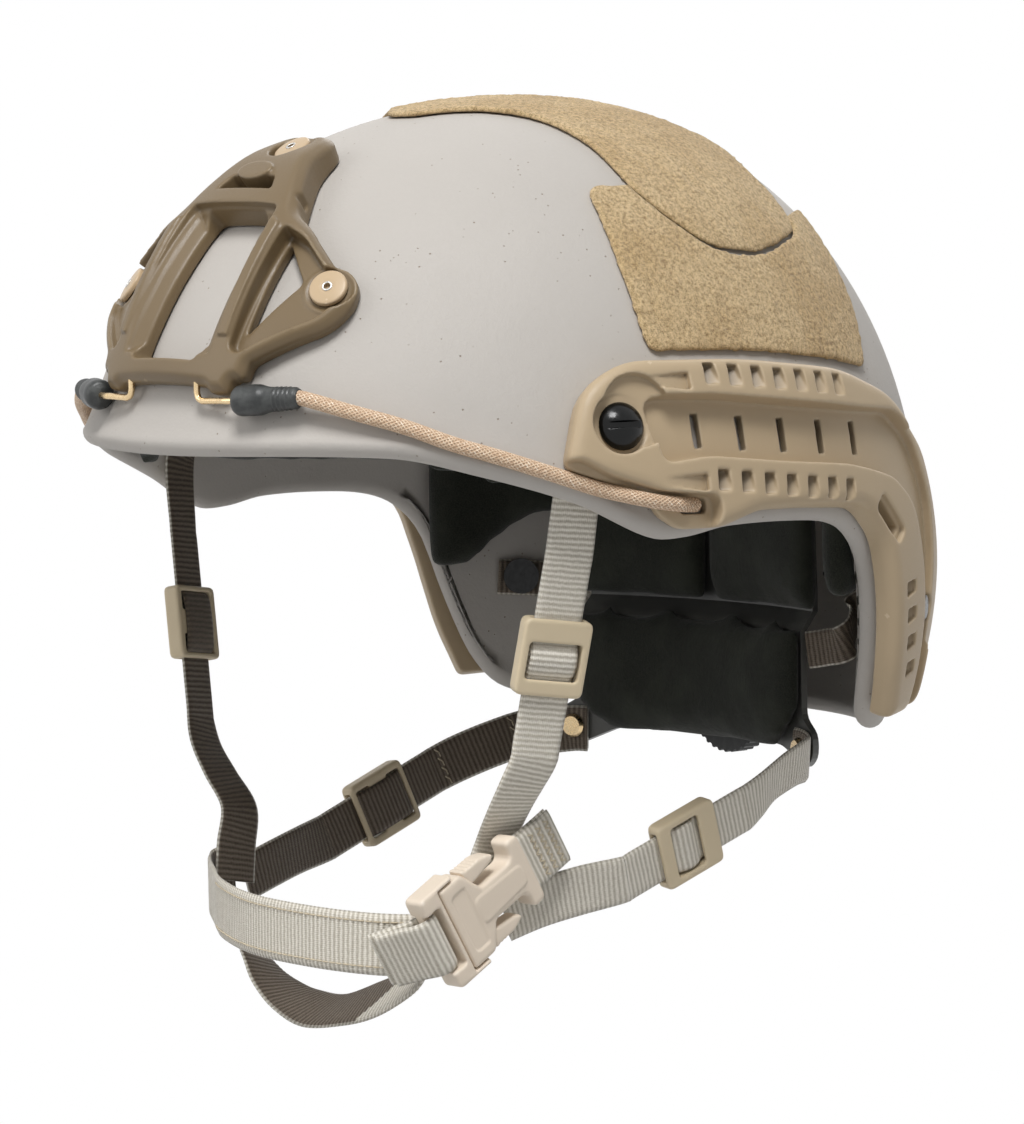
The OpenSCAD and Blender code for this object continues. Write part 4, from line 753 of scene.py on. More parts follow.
def on_right(points, faces):
    """The same solid on the wearer's right."""
    return points * [-1, 1, 1], turned_over(faces)


def both_sides(name, points, faces, material, body="helmet", slot=None, lay=None, stands=True):
    """A left and a right piece. They stand for the nodes of that name, or are trim without stands."""
    made = []
    for side, (p, f) in (("left", (points, faces)), ("right", on_right(points, faces))):
        full = f"{side}_{name}"
        rides = body.format(side=side) if body else None
        made.append(piece("dressed_" * stands + full, p, f, material, rides, [full] * stands, slot, lay))
    return made


def bend_to_nape(pieces, start, end):
    """Each left and right piece has its place baked into its mesh. start and end, in metres on the left, are
    not used.
    """
    for made, side in zip(pieces, (1, -1)):
        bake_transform(made)


def ring_mesh(rings):
    """Faces between rings of points, with a cap at each end."""
    k, n = rings.shape[:2]
    i, j = np.meshgrid(np.arange(k - 1), np.arange(n), indexing="ij")
    a, b = i * n + j, i * n + (j + 1) % n
    faces = [list(f) for f in np.stack([a, b, b + n, a + n], -1).reshape(-1, 4)]
    return rings.reshape(-1, 3), faces + [list(range(n))[::-1], list(range((k - 1) * n, k * n))]


def circles(at, side, up, radius, turn):
    """A ring of points round each place, at the angles turn in the plane of side and up."""
    ring = np.cos(turn)[None, :, None] * side[:, None] + np.sin(turn)[None, :, None] * up[:, None]
    return at[:, None] + radius * ring


def turns(sides):
    return np.arange(sides) * 2 * np.pi / sides


def tube_axes(p, lean):
    """The ways across and up at each point of a line."""
    way = unit(np.gradient(p, axis=0))
    side = unit(np.cross(lean, way))
    return side, np.cross(way, side)


def tube(points, radius, sides, lean=(0, 0, 1)):
    """A round tube along points."""
    p = np.asarray(points, float)
    return ring_mesh(circles(p, *tube_axes(p, lean), radius, turns(sides)))


def evenly(route, spacing):
    """Points at even distances along a smooth route, their lengths and their places in the route."""
    s = np.linspace(0, len(route) - 1, 60 * (len(route) - 1) + 1)
    p = along(route, s)
    length = np.concatenate([[0], np.cumsum(np.linalg.norm(np.diff(p, axis=0), axis=1))])
    count = max(2, int(round(length[-1] / spacing)) + 1)
    at = np.interp(np.linspace(0, length[-1], count), length, s)
    return along(route, at), np.linspace(0, length[-1], count), at


def strap_axes(route, spans, spacing):
    """Points along webbing, their lengths, and the ways along, across and out of it."""
    p, length, at = evenly(route, spacing)
    way = unit(np.gradient(p, axis=0))
    for _ in range(BEND_ROUNDS):
        way[1:-1] = unit(way[:-2] + 2 * way[1:-1] + way[2:])
    span = along(spans, at)
    side = unit(span - np.sum(span * way, -1, keepdims=True) * way)
    face = np.cross(way, side)
    inside_head = np.array([0, -10, -50])
    if np.sum(face * (p - inside_head)) < 0:
        face = -face
    return p, length, way, side, face


def stitches(route, spans, thickness, runs, pitch=2.6):
    """Thread on webbing. A run is four numbers: start and end along it, start and end across it."""
    p, length, _, side, face = strap_axes(route, spans, 0.5)
    solids, radius = [], 0.22
    for s0, s1, x0, x1 in runs:
        count = max(1, int(round(math.hypot(s1 - s0, x1 - x0) / pitch)))
        for i in range(count):
            t = (i + np.linspace(0.08, 0.92, 5)) / count
            s, x = s0 + t * (s1 - s0), x0 + t * (x1 - x0)
            spot = [np.stack([np.interp(s, length, a[:, k]) for k in range(3)], -1) for a in (p, side, face)]
            rise = thickness / 2 + radius * np.array([-0.8, 0.5, 0.8, 0.5, -0.8])
            solids.append(tube(spot[0] + x[:, None] * spot[1] + rise[:, None] * spot[2], radius, 6))
    points, faces = [], []
    for q, f in solids:
        faces += [[k + sum(map(len, points)) for k in ring] for ring in f]
        points.append(q)
    return np.concatenate(points), faces


def ribbon(route, spans, width, thickness, spacing=0.5):
    """Webbing along a route, with ribs across it. Returns points, faces and lay."""
    p, length, way, side, face = strap_axes(route, spans, spacing)
    x, rib = np.linspace(-1, 1, 13), 0.08
    edge = np.sqrt(np.maximum(0, 1 - np.abs(x) ** 12))
    ring_x = np.concatenate([x, x[::-1][1:-1]])
    ring_z = np.concatenate([edge, -edge[::-1][1:-1]])
    thick = thickness / 2 - rib + rib * np.cos(2 * np.pi * length / RIB_PITCH)
    verts = (
        p[:, None] + side[:, None] * (ring_x * width / 2)[None, :, None]
        + face[:, None] * (thick[:, None] * ring_z)[..., None]
    )
    points, faces = ring_mesh(verts)
    lay = np.stack(np.broadcast_arrays(
        (ring_x * width / 2)[None, :], length[:, None], np.sign(ring_z + 1e-9)[None, :]
    ), -1).reshape(-1, 3)
    if np.sum(np.cross(side, face) * way) < 0:
        faces = turned_over(faces)
    return points, faces, lay


# Shell

edge_keys = [
    (0, 0), (34, 0), (46, -6), (59, -15), (70, -26), (76, -26.5), (84, -24), (98, -24), (106, -26),
    (111, -31), (115, -41), (118.5, -62), (122.5, -82), (127.5, -93), (137, -97), (180, -98),
]


def shell():
    """The bowl: its outer face, a rounded lip and its inner face, as rings from crown to crown."""
    columns, rows, lip = 300, 46, 10
    flare, flare_height = 1.5, 15.0
    az = np.arange(columns) * 360 / columns
    az = np.where(az > 180, az - 360, az)
    r = WALL / 2
    z = curve(edge_keys, np.abs(az))
    ahead = skin(az + 1, curve(edge_keys, np.abs(az + 1)), np.full(columns, -r))
    behind = skin(az - 1, curve(edge_keys, np.abs(az - 1)), np.full(columns, -r))
    out, way = normal_at(skin_base(az, z)), unit(ahead - behind)
    down = np.cross(way, out)
    front_share = np.clip((np.cos(np.radians(az)) - 0.2) / 0.5, 0, 1)
    middle = skin(az, z, -r + flare * front_share) - r * down
    f0, f1 = 89.0, tier_angle(z + 5)

    def ring(j, d):
        level = tier(f0 + (f1 - f0) * (j / rows) ** 0.9)
        near = np.clip(1 - (level - z) / flare_height, 0, 1)
        return skin(az, level, flare * front_share * near * near * (3 - 2 * near) + d)

    rings = [ring(j, 0) for j in range(rows + 1)]
    rings += [middle + r * (out * math.cos(a) + down * math.sin(a)) for a in np.linspace(0, np.pi, lip + 1)]
    rings += [ring(j, -WALL) for j in range(rows, -1, -1)]
    points, faces = ring_mesh(np.stack(rings))
    piece("dressed_shell", points, turned_over(faces), "shell", "helmet", ["shell"])


shell()


# Front shroud

tilt = math.radians(38)
front_patch = FlatPatch([1, 0, 0], [0, math.sin(tilt), math.cos(tilt)], [0, -29, -8], 8)

shroud_outline = rounded(mirrored([
    (8, 95.5, 3), (12.5, 93.5, 3), (15.5, 87, 4), (22.5, 78.5, 3), (27, 72, 3), (36, 67.5, 4),
    (60.5, 48, 6), (57, 39.5, 4), (36, 28.6, 2), (35.6, 26, 1), (35.4, 23.8, 1.5), (31.6, 23.6, 1.5),
    (31, 19.4, 1.5), (24, 19.4, 2), (21.5, 21.6, 1.5),
]))
shroud_keys = [(14, 6), (22, 7.4), (30, 8), (52, 9.8), (73, 11.6), (80, 11.6), (87, 8.9), (99, 7.7)]
shroud_fall = [(0, 1), (13, 1), (22, 0.84), (36, 0.62), (42, 0.6)]
shroud_bolts = [(0, 83.7), (23.5, 46.8), (-23.5, 46.8)]
tab_height, floor_height, seat = 7.7, 4.2, 0.5
disc_d, disc_h = 12.0, 2.2


def window(half):
    return rounded([(half - 1, 73, 3), (half + 0.5, 29, 3), (-half - 0.5, 29, 3), (-half + 1, 73, 3)])


def near_field(patch_points, flat_u, flat_v, margin=10):
    """Distance to an outline, worked out only round it."""
    low, high = patch_points.min(0) - margin, patch_points.max(0) + margin
    close = (flat_u > low[0]) & (flat_u < high[0]) & (flat_v > low[1]) & (flat_v < high[1])
    out = np.full(flat_u.shape, float(margin))
    out[close] = inside_outline(patch_points, flat_u[close], flat_v[close])
    return out[..., None]


def shroud_field(u, v, d):
    flat_u, flat_v = u[..., 0], v[..., 0]
    base = front_patch.to_skin(flat_u, flat_v)
    az = np.degrees(np.arctan2(base[..., 0], -base[..., 1]))

    def flat(outline):
        return near_field(front_patch.front(outline), flat_u, flat_v)

    def mirrored_side(side, *corners):
        return rounded([(side * x, z, r) for x, z, r in corners])

    top = (curve(shroud_keys, base[..., 2]) * curve(shroud_fall, np.abs(az)))[..., None]
    for side in (1, -1):
        bar = mirrored_side(side, (22.3, 69.5, 1), (26.2, 67.5, 1), (26.8, 36, 0.6), (22.8, 36, 0.6))
        top = top + 1.1 * np.clip(0.5 - flat(bar) / 0.6, 0, 1)
    edge = flat(shroud_outline)
    body = meet(edge, d - top, 1.2)
    body = meet(body, (edge + d - top + 2.4) * 0.707, 0.8)
    body = meet(body, seat - d, 0.6)
    jamb = flat(window(22))
    slope = 8.8 + 0.75 * jamb - 0.5 * np.clip(-(jamb + 1.6) / 0.5, 0, 1)
    body = carve(body, meet(jamb, slope - d, 0.3), 0.4)
    body = carve(body, flat(window(16)), 0.7)
    body = carve(body, flat(rounded(mirrored([(10, 80.8, 1), (13, 77.2, 1)]))), 0.5)
    for side in (1, -1):
        pocket = mirrored_side(
            side, (27.4, 67.5, 2), (36.6, 64.4, 3), (55.6, 49.5, 4), (53, 42.4, 3), (31, 31, 2), (27.8, 33, 2)
        )
        hole = mirrored_side(side, (28.6, 65.5, 1.6), (41.4, 53.4, 2), (30.2, 37, 1.6))
        body = carve(body, meet(flat(pocket), floor_height - d, 1.2), 1.0)
        body = carve(body, flat(hole), 0.7)
        notch = front_patch.front(np.array([[side * 24.6, 76.6]]))[0]
        dimple = np.hypot(u - notch[0], v - notch[1]) - 1.7
        body = carve(body, meet(dimple, 3.6 - d, 0.4), 0.6)
    for az_at, z_at in shroud_bolts:
        centre = front_patch.from_skin(skin_base(az_at, z_at))
        ring = np.hypot(u - centre[0], v - centre[1])
        high = floor_height if az_at else tab_height
        if az_at:
            boss = meet(ring - disc_d / 2 - 1.7, d - high - 0.5, 0.5)
            body = join(body, meet(boss, seat - d, 0.5), 0.7)
        body = carve(body, meet(ring - disc_d / 2 - 0.6, high - d, 0.3), 0.5)
    centre = front_patch.from_skin(skin_base(0, 75.4))
    oval = (np.hypot((u - centre[0]) / 7.0, (v - centre[1]) / 3.4) - 1) * 4.2
    return join(body, meet(meet(oval, d - top - 1.1, 0.4), seat - d), 0.2)


low, high = front_patch.front(shroud_outline).min(0) - 3, front_patch.front(shroud_outline).max(0) + 3
solid = moulding(front_patch, shroud_field, (low[0], high[0]), (low[1], high[1]), (-0.2, 13.6), 0.5)
piece("dressed_shroud", *solid, "shroud", "helmet", ["front_shroud"])


# Screws

def skin_axes(az, z):
    """The ways across, up and out at a place on the skin."""
    out = normal_at(skin_base(az, z))
    across = unit([-out[1], out[0], 0])
    return np.stack([across, np.cross(out, across), out])


def skin_frame(az, z, d):
    """The place and axes of something that stands on the skin."""
    axes = skin_axes(az, z)
    return skin_base(az, z) + d * axes[2], axes


def placed(solids, frames):
    """Copies of solids moved to their frames and put together."""
    points, faces, count = [], [], 0
    for (p, f), (at, axes) in zip(solids, frames):
        points.append(p @ axes + at)
        faces.append(np.asarray(f) + count)
        count += len(p)
    return np.concatenate(points), np.concatenate(faces)


def disc_screw():
    def field(x, y, z):
        r = np.hypot(x, y)
        dome = disc_h - 0.5 * (r / (disc_d / 2)) ** 2
        head = meet(meet(r - disc_d / 2, z - dome, 0.7), -z, 0.3)
        ring = meet(np.abs(r - 1.9) - 0.25, disc_h - 0.18 - z)
        head = carve(head, ring, 0.2)
        hexagon = np.maximum.reduce([
            np.abs(x * math.cos(a) + y * math.sin(a)) for a in np.radians([0, 60, 120])
        ]) - 1.1
        head = carve(head, meet(hexagon, disc_h - 1.3 - z, 0.1), 0.2)
        return join(head, meet(r - 2, np.abs(z + 2) - 2.4), 0.2)
    return block(field, (-6.6, -6.6, -4.8), (6.6, 6.6, 2.8), 0.24)


def dome_screw():
    head_d, head_h, slot_w = 15.6, 4.4, 2.0

    def field(x, y, z):
        r = np.hypot(x, y)
        dome_r = ((head_d / 2) ** 2 + head_h**2) / (2 * head_h)
        dome = np.sqrt(x * x + y * y + (z - head_h + dome_r) ** 2) - dome_r
        head = meet(meet(dome, r - head_d / 2 + 0.2, 0.9), -z, 0.4)
        slot = meet(meet(np.abs(y) - slot_w / 2, head_h - 1.9 - z, 0.2), np.abs(x) - 6.2, 0.6)
        head = carve(head, slot, 0.3)
        return join(head, meet(r - 2, np.abs(z + 4) - 4.6), 0.2)
    return block(field, (-8.6, -8.6, -9), (8.6, 8.6, 5), 0.25)


def shroud_spots(lift):
    """Where the shroud's three screws stand."""
    return [skin_frame(a, z, (tab_height if a == 0 else floor_height) + lift) for a, z in shroud_bolts]


piece("dressed_shroud_screws", *placed([disc_screw()] * 3, shroud_spots(0.2)),
      "screw_tan", "helmet", ["shroud_screws"])
socket_ring = block(
    lambda x, y, z: meet(np.abs(np.hypot(x, y) - 1.35) - 0.32, np.abs(z - disc_h) - 0.24, 0.1),
    (-2.2, -2.2, 1.6), (2.2, 2.2, 2.8), 0.14
)
piece("shroud_screw_sockets", *placed([socket_ring] * 3, shroud_spots(0.16)),
      "steel", "helmet", slot="screw_tan")

rail_floor, rail_bolt_floor = 4.0, 6.2
front_bolt, rear_bolt = (64.2, 6.2), (131, -56)
big_dome = dome_screw()
small_head = block(
    lambda x, y, z: meet(meet(np.hypot(x, y) - 4, z - 1.8, 0.6), -z - 3),
    (-4.6, -4.6, -3.6), (4.6, 4.6, 2.6), 0.3
)
heads, spots = [], []
for side in (1, -1):
    for head, (az, z), height in (
        (big_dome, front_bolt, rail_bolt_floor), (small_head, rear_bolt, rail_floor)
    ):
        heads.append(head)
        spots.append(skin_frame(side * az, z, height + 0.2))
piece("dressed_rail_screws", *placed(heads, spots), "black_metal", "helmet", ["rail_screws"])


# Rails

side_patch = RoundPatch([0, 1, 0], [0, 0, 1], [-30, 0, -38], 9)

rail_outline = rounded([
    (-74, -3, 4), (-66, 20, 11), (-50, 28, 7), (-10, 27.2, 8), (36, 22.6, 8), (62, 14, 8), (84, -5, 5),
    (92, -22, 5), (102, -46, 8), (103, -66, 8), (95, -84, 3), (89, -91, 3), (66, -92.5, 2), (61, -74, 5),
    (56, -50, 6), (50, -31, 6), (38, -20.5, 5), (12, -19, 5), (-9, -18.8, 5), (-24, -23.4, 3),
    (-38, -23.2, 3), (-45, -18.5, 2), (-48, -12.5, 2),
])
channel_outline = rounded([
    (-47, 17, 6), (-23, 16.2, 4), (4, 13.4, 4), (34, 10.4, 4), (62, 8, 4), (76, -2, 5), (87, -22, 6),
    (92, -44, 8), (91, -64, 8), (86, -100, 0), (78, -100, 0), (81, -78, 6), (79.5, -57, 6), (74, -37, 8),
    (67, -21, 6), (55, -12.6, 4), (44, -9.8, 4), (30, -7.2, 4), (1, -5, 4), (-28, -2, 4), (-44, -3.6, 4),
])
flange_outline = rounded([
    (-80, -2, 0), (-69, -1, 2), (-61, -6, 3), (-46, -11.6, 4), (-26, -13.4, 3), (-25, -19, 3), (-30, -30, 0),
    (-80, -30, 0),
])
lip_outline = rounded([
    (64, 30, 0), (112, 30, 0), (112, -100, 0), (90, -100, 0), (90, -60, 0), (84, -24, 0), (70, 5, 0)
])
rail_keys = [(50, 10), (98, 10), (113, 8.6), (152, 8.6)]
lip_height = 6.6
tooth_step, tooth_count, tooth_w, tooth_depth = 8.8, 7, 4.3, 3.4
slot_step, slot_w, slot_len = 17.3, 2.8, 10.5


def turned(corners, degrees):
    """Corners turned about the origin, from the first axis towards the second."""
    a = math.radians(degrees)
    return np.array(corners) @ np.array([[math.cos(a), math.sin(a)], [-math.sin(a), math.cos(a)]])


def tooth(y, z, tilt):
    """The outline of one recess in a ledge, tilted in degrees."""
    half, length = tooth_w / 2 + 0.3, 3.2
    corners = [(-half, length), (half - 1.0, length), (half, -length), (-half, -length)]
    return rounded([(*c, 0.5) for c in turned(corners, tilt) + [y, z]], 2)


tooth_places = (np.arange(tooth_count) - (tooth_count - 1) / 2) * tooth_step
teeth = [
    tooth(y + t, z - fall * t, -3)
    for y, z, fall in ((4.2, 19.6, 0.098), (2.9, -12.2, 0.105)) for t in tooth_places
]
rear_teeth = [tooth(*q, -82) for q in ((66, -48.4), (68, -57), (70, -66), (72.5, -75))]


def rail_slot(i):
    y, z = 7 + i * slot_step, 4 - 0.08 * i * slot_step
    return rounded([
        (y + a * slot_w / 2, z + b * slot_len / 2, 0.5) for a, b in ((-1, 1), (1, 1), (1, -1), (-1, -1))
    ])


def rail_painted_shade(u, v, d):
    """Painted shade in the recesses and slots of the rail, from 0 to 1, darker where deeper."""
    top = curve(rail_keys, u / side_patch.per_degree)
    low = np.clip((top - d - 0.5) / 2.6, 0, 1)
    recess_shade = np.zeros(len(u))
    for outline in teeth + rear_teeth + [rail_slot(i) for i in range(-2, 3)]:
        near = near_field(side_patch.side(outline), u, v, 6)[:, 0]
        recess_shade = np.maximum(recess_shade, low * np.clip(0.9 - near / 0.5, 0, 1))
    return recess_shade


def rail_field(u, v, d):
    flat_u, flat_v = u[..., 0], v[..., 0]
    az = flat_u / side_patch.per_degree
    base = side_patch.to_skin(flat_u, flat_v)

    def flat(outline, margin=12):
        return near_field(side_patch.side(outline), flat_u, flat_v, margin)

    def across(outline):
        """Shares from 0 to 1 along an outline, rearwards and upwards."""
        points = side_patch.side(outline)
        low, size = points.min(0), np.ptp(points, axis=0)
        return (
            np.clip((flat_u - low[0]) / size[0], 0, 1)[..., None],
            np.clip((flat_v - low[1]) / size[1], 0, 1)[..., None],
        )

    def cut_teeth(body, recesses, whole, by_rear, by_up):
        """Recesses that get shallower rearwards and deeper upwards."""
        for recess in recesses:
            rear, up = across(recess)
            floor = top - tooth_depth * (whole - by_rear * rear - by_up * (1 - up))
            body = carve(body, meet(flat(recess, 6), floor - d, 0.2), 0.3)
        return body

    top = curve(rail_keys, az)[..., None]
    edge = flat(rail_outline)
    body = meet(edge, d - top, 1.4)
    body = meet(body, (edge + d - top + 2.0) * 0.707, 2.0)
    body = meet(body, seat - d, 0.6)
    body = carve(body, meet(flat(lip_outline), lip_height - d, 0.8), 0.9)
    body = carve(body, meet(flat(channel_outline), rail_floor - 0.6 - d, 0.8), 0.6)
    body = carve(body, meet(flat(flange_outline), rail_floor - d, 1.2), 1.0)
    body = cut_teeth(body, teeth, 1.6, 1.0, 0.6)
    for (y, z), back in (((-35.5, 20.4), 12), ((-34.5, -9.6), 10)):
        ramp = rounded([
            (y - back, z + 1.4, 1), (y + 5, z + 2.4, 0.8), (y + 5, z - 2.8, 0.8), (y - back, z - 0.6, 1)
        ])
        rear, _ = across(ramp)
        body = carve(body, meet(flat(ramp, 6), top - 2.0 * rear - d, 0.3), 0.5)
    body = cut_teeth(body, rear_teeth, 1.3, 0.7, 0.4)
    for i in range(-2, 3):
        body = carve(body, flat(rail_slot(i), 6), 0.35)
    entry = rounded([(-37, -14.4, 1), (-27.4, -14, 2), (-27.4, -18.8, 2), (-37, -18.4, 1)])
    body = carve(body, flat(entry, 6), 0.6)
    elbow, lean = (51.4, -25.2), -44
    shallow = turned([(-8.6, 3.2), (9.4, 3.2), (9.4, -2.8), (-8.6, -2.8)], lean) + elbow
    body = carve(body, meet(flat(rounded([(*c, 2) for c in shallow]), 6), top - 1.8 - d, 0.5), 0.6)
    through = turned([(-7, 2.5), (7.4, 2.5), (7.4, -2.4), (-7, -2.4)], lean) + elbow
    body = carve(body, flat(rounded([(*c, 1.2) for c in through]), 6), 0.5)
    for (az_at, z_at), radius, floor in ((front_bolt, 8.8, rail_bolt_floor), (rear_bolt, 4.9, rail_floor)):
        at = skin_base(az_at, z_at)
        ring = np.linalg.norm(base - at, axis=-1)[..., None]
        if radius > 6:
            scoop = skin_base(az_at + 2.4, z_at + 3.4)
            bowl = np.linalg.norm(base - scoop, axis=-1)[..., None]
            body = carve(body, meet(bowl - radius - 1.8, floor - 0.6 + 0.15 * bowl - d, 0.5), 0.5)
        body = carve(body, meet(ring - radius, floor - d, 0.5), 0.6)
        body = carve(body, ring - 3.3, 0.3)
    return body


# The rails hold painted shade in their recesses and slots, passed on as their lay values.
*solid, recess_shade = moulding(
    side_patch, rail_field, (52 * side_patch.per_degree, 154 * side_patch.per_degree), (-99, 33),
    (-0.2, 11.4), 0.5, painted_shade=rail_painted_shade
)
both_sides("rail", *solid, "rail", lay=recess_shade)


# Loop fastener panels

loop_t, panel_seam = 1.6, 0.8


def crown_outline(grow):
    return rounded(mirrored([(x * (1 + grow / 90), y, r) for x, y, r in (
        (6, -43, 4), (21, -29.4, 6), (38, -19.6, 8), (56, -15.4, 6), (76, -14.6, 2), (83.6, -9.4, 3),
        (91, 0, 5), (92.8, 12, 6), (91.6, 24, 6), (87, 36, 6), (80, 48.6, 4), (71, 50.6, 4), (60, 47, 6),
        (30, 56, 8), (6, 58, 4),
    )]))


def pile_panel(patch, outline, seed, cut_by_crown=False):
    def field(u, v, d):
        flat_u, flat_v = u[..., 0], v[..., 0]
        edge = inside_outline(outline, flat_u, flat_v)
        if cut_by_crown:
            base = patch.to_skin(flat_u, flat_v)
            edge = np.maximum(edge, -inside_outline(crown_outline(panel_seam), base[..., 0], base[..., 1]))
        edge = edge + 0.45 * (patchy(flat_u, flat_v, 1.1, seed) - 0.5)
        pile = 0.5 * patchy(flat_u, flat_v, 1.7, seed + 1) + 0.35 * patchy(flat_u, flat_v, 0.9, seed + 2)
        top = loop_t - 0.35 + pile
        body = meet(edge[..., None], d - (seat + top[..., None]), 1.0)
        return meet(body, seat - d)
    low, high = outline.min(0) - 3, outline.max(0) + 3
    return moulding(patch, field, (low[0], high[0]), (low[1], high[1]), (0.0, 3.4), 0.8)


top_patch = FlatPatch([1, 0, 0], [0, 1, 0], [0, 0, 0], 0)
solid = pile_panel(top_patch, top_patch.top(crown_outline(0)), 11)
piece("dressed_crown_panel", *solid, "loop", "helmet", ["crown_loop_panel"])

tilt = math.radians(30)
panel_patch = FlatPatch([0, 1, 0], [-math.sin(tilt), 0, math.cos(tilt)], [-30, 0, -38], 0)
side_panel_outline = panel_patch.side(rounded([
    (-30.6, 77.6, 5), (-34.6, 56, 6), (-35.6, 36, 4), (-35, 28.4, 4), (-12, 28.2, 3), (8, 27, 3),
    (30, 24.6, 3), (58, 20.2, 2), (64, 37, 5), (66.6, 55, 5), (67, 68.6, 2), (50, 66.8, 2), (30, 68, 4),
    (-10, 77.4, 4),
]))
both_sides("loop_panel", *pile_panel(panel_patch, side_panel_outline, 21, True), "loop")

tilt = math.radians(25)
rear_patch = FlatPatch([-1, 0, 0], [0, -math.sin(tilt), math.cos(tilt)], [0, 0, -30], 0)
corners = rounded(mirrored([(40, 40, 6), (44, 4, 4), (36, -2, 4)]))
x, z = corners[:, 0], corners[:, 1]
rear_outline = rear_patch.drawn(np.stack([x, reach(x, z, BACK, HALF_W, 0), z], -1))
piece("dressed_rear_panel", *pile_panel(rear_patch, rear_outline, 31), "loop", "helmet", ["rear_loop_panel"])


# Bungees, boots and hooks

bungee_d, boot_len, hook_d = 4.6, 22.5, 2.0
soft_gap = 0.9
bungee_levels = [
    (20, 16.4), (23, 15.9), (29.5, 12.2), (36, 8.2), (42, 3.2), (48, -1), (54.6, -6), (61, -11),
    (68.7, -15.6), (76, -17),
]
bungee_lifts = [
    (20, 6), (25, 5), (31, 4), (38, 3.2), (61, 3.2), (66.5, 6.7), (71.5, 6.7), (76, 2.8)
]
hook_x, hook_out_x, hook_y, hook_z, hook_leg = 16.5, 33.5, -137.16, 16.4, 7.0
boot_from = np.array([hook_out_x, hook_y + 0.9, hook_z + 0.3])


def bungee_point(a):
    return skin(a, curve(bungee_levels, a), curve(bungee_lifts, a))


def bungee():
    """A braided cord: two sets of strands wound against each other."""
    p, length, _ = evenly(bungee_point(np.linspace(21.4, 76, 29)), 0.3)
    turn = turns(48)
    around, on, relief = turn[None] * STRANDS, length[:, None] * STRAND_TWIST, 0.05
    radius = bungee_d / 2 - relief + relief * np.maximum(np.sin(around + on), np.sin(around - on))
    points, faces = ring_mesh(circles(p, *tube_axes(p, (0, 0, 1)), radius[..., None], turn))
    lay = np.stack(np.broadcast_arrays(turn[None], length[:, None], 1.0), -1).reshape(-1, 3)
    return points, faces, lay


points, faces, lay = bungee()
both_sides("bungee", points, faces, "bungee", lay=lay)

boot_way = unit(bungee_point(np.array(22.9)) - boot_from)


def lathe(profile, at, way):
    """A profile (distance along, radius) turned about an axis."""
    side = unit(np.cross(way, (0, 0, 1)))
    middles = at + profile[:, :1] * way
    rings = circles(middles, side[None], np.cross(way, side)[None], profile[:, 1, None, None], turns(48))
    points, faces = ring_mesh(rings)
    return points, turned_over(faces)


bulb = boot_len * 0.5
boot_keys = [
    (0, 2.2), (0.7, 3.7), (2.2, 4.6), (5, 4.7), (bulb - 1.8, 4.62), (bulb + 0.4, 4.0), (bulb + 2.4, 3.72),
    (boot_len - 1, 3.3), (boot_len, 2.7),
]
t = np.linspace(0, boot_len, 90)
boot_r = curve(boot_keys, t)
boot_r = boot_r + 0.12 * np.cos(2 * np.pi * t / 1.5) * ((t > bulb + 3) & (t < boot_len - 2))
both_sides("boot", *lathe(np.stack([t, boot_r], 1), boot_from, boot_way), "boot")

knee = boot_from - 1.6 * boot_way
corner = np.array([hook_x, hook_y, hook_z])
bend = 2.6
wire = [
    corner + [0, 0, hook_leg], corner + [0, 0, bend + 1], corner + [0, 0, bend], corner + [0.75, 0, 0.75],
    corner + [bend, 0, 0], corner + [bend + 1, 0, 0], knee - [4, 0, 0], knee - [2.4, 0, 0],
    boot_from + 1.0 * boot_way, boot_from + 6 * boot_way,
]
p, _, _ = evenly(wire, 0.4)
points, faces = tube(p, hook_d / 2, 20, (0, 1, 0))
both_sides("hook", points, turned_over(faces), "wire")


# Chin strap routes

strap_w, chin_w, strap_t = 15.5, 19.0, 1.6
front_slide = np.array([(94.5, -59.7, -38), (84.5, -62.8, -86)])
rear_slide = np.array([(76.2, 25, -118.6), (74.2, -15, -133.2)])


def on_line(ends, t):
    return ends[0] + t * (ends[1] - ends[0])


def under_nut(az, z):
    """A point of the front strap, under the nut of the rail's front screw."""
    return skin(front_bolt[0] + az, front_bolt[1] + z, -WALL - soft_gap - 0.5 - strap_t / 2)


front_route = [under_nut(1, 11), under_nut(-0.6, -3.5), under_nut(-3.4, -14)] + [
    on_line(front_slide, t) for t in (-0.15, 0, 1, 1.15)
] + [(78.6, -64.4, -101), (71.9, -64.1, -109.6), (64, -63, -120), (61.4, -66.4, -132), (59.6, -68.6, -143)]
front_span = (0.35, 0.94, 0)
front_spans = [skin_axes(front_bolt[0], front_bolt[1] + z)[0] for z in (11, -3.5, -14)] + [front_span] * 4 + [
    (0.3, 0.95, 0), (0.2, 0.97, 0), (0.1, 0.99, 0), (0, 1, 0.06), (0, 1, 0.1)
]
nape_axis_y, cradle_r, ear_x, ear_z = -81.0, 165.2, 56.0, -104.0
ear_y = nape_axis_y + math.sqrt(cradle_r**2 - ear_x**2)
ear_turn = math.asin(ear_x / cradle_r)


def on_ear(u, v, lift=0.0):
    """A point on the inside of the cradle's ear, where the rear strap is held."""
    back = 0.4 + strap_t / 2 + lift
    return (
        np.array([ear_x, ear_y, ear_z + v]) + u * np.array([math.cos(ear_turn), -math.sin(ear_turn), 0])
        - back * np.array([math.sin(ear_turn), math.cos(ear_turn), 0])
    )


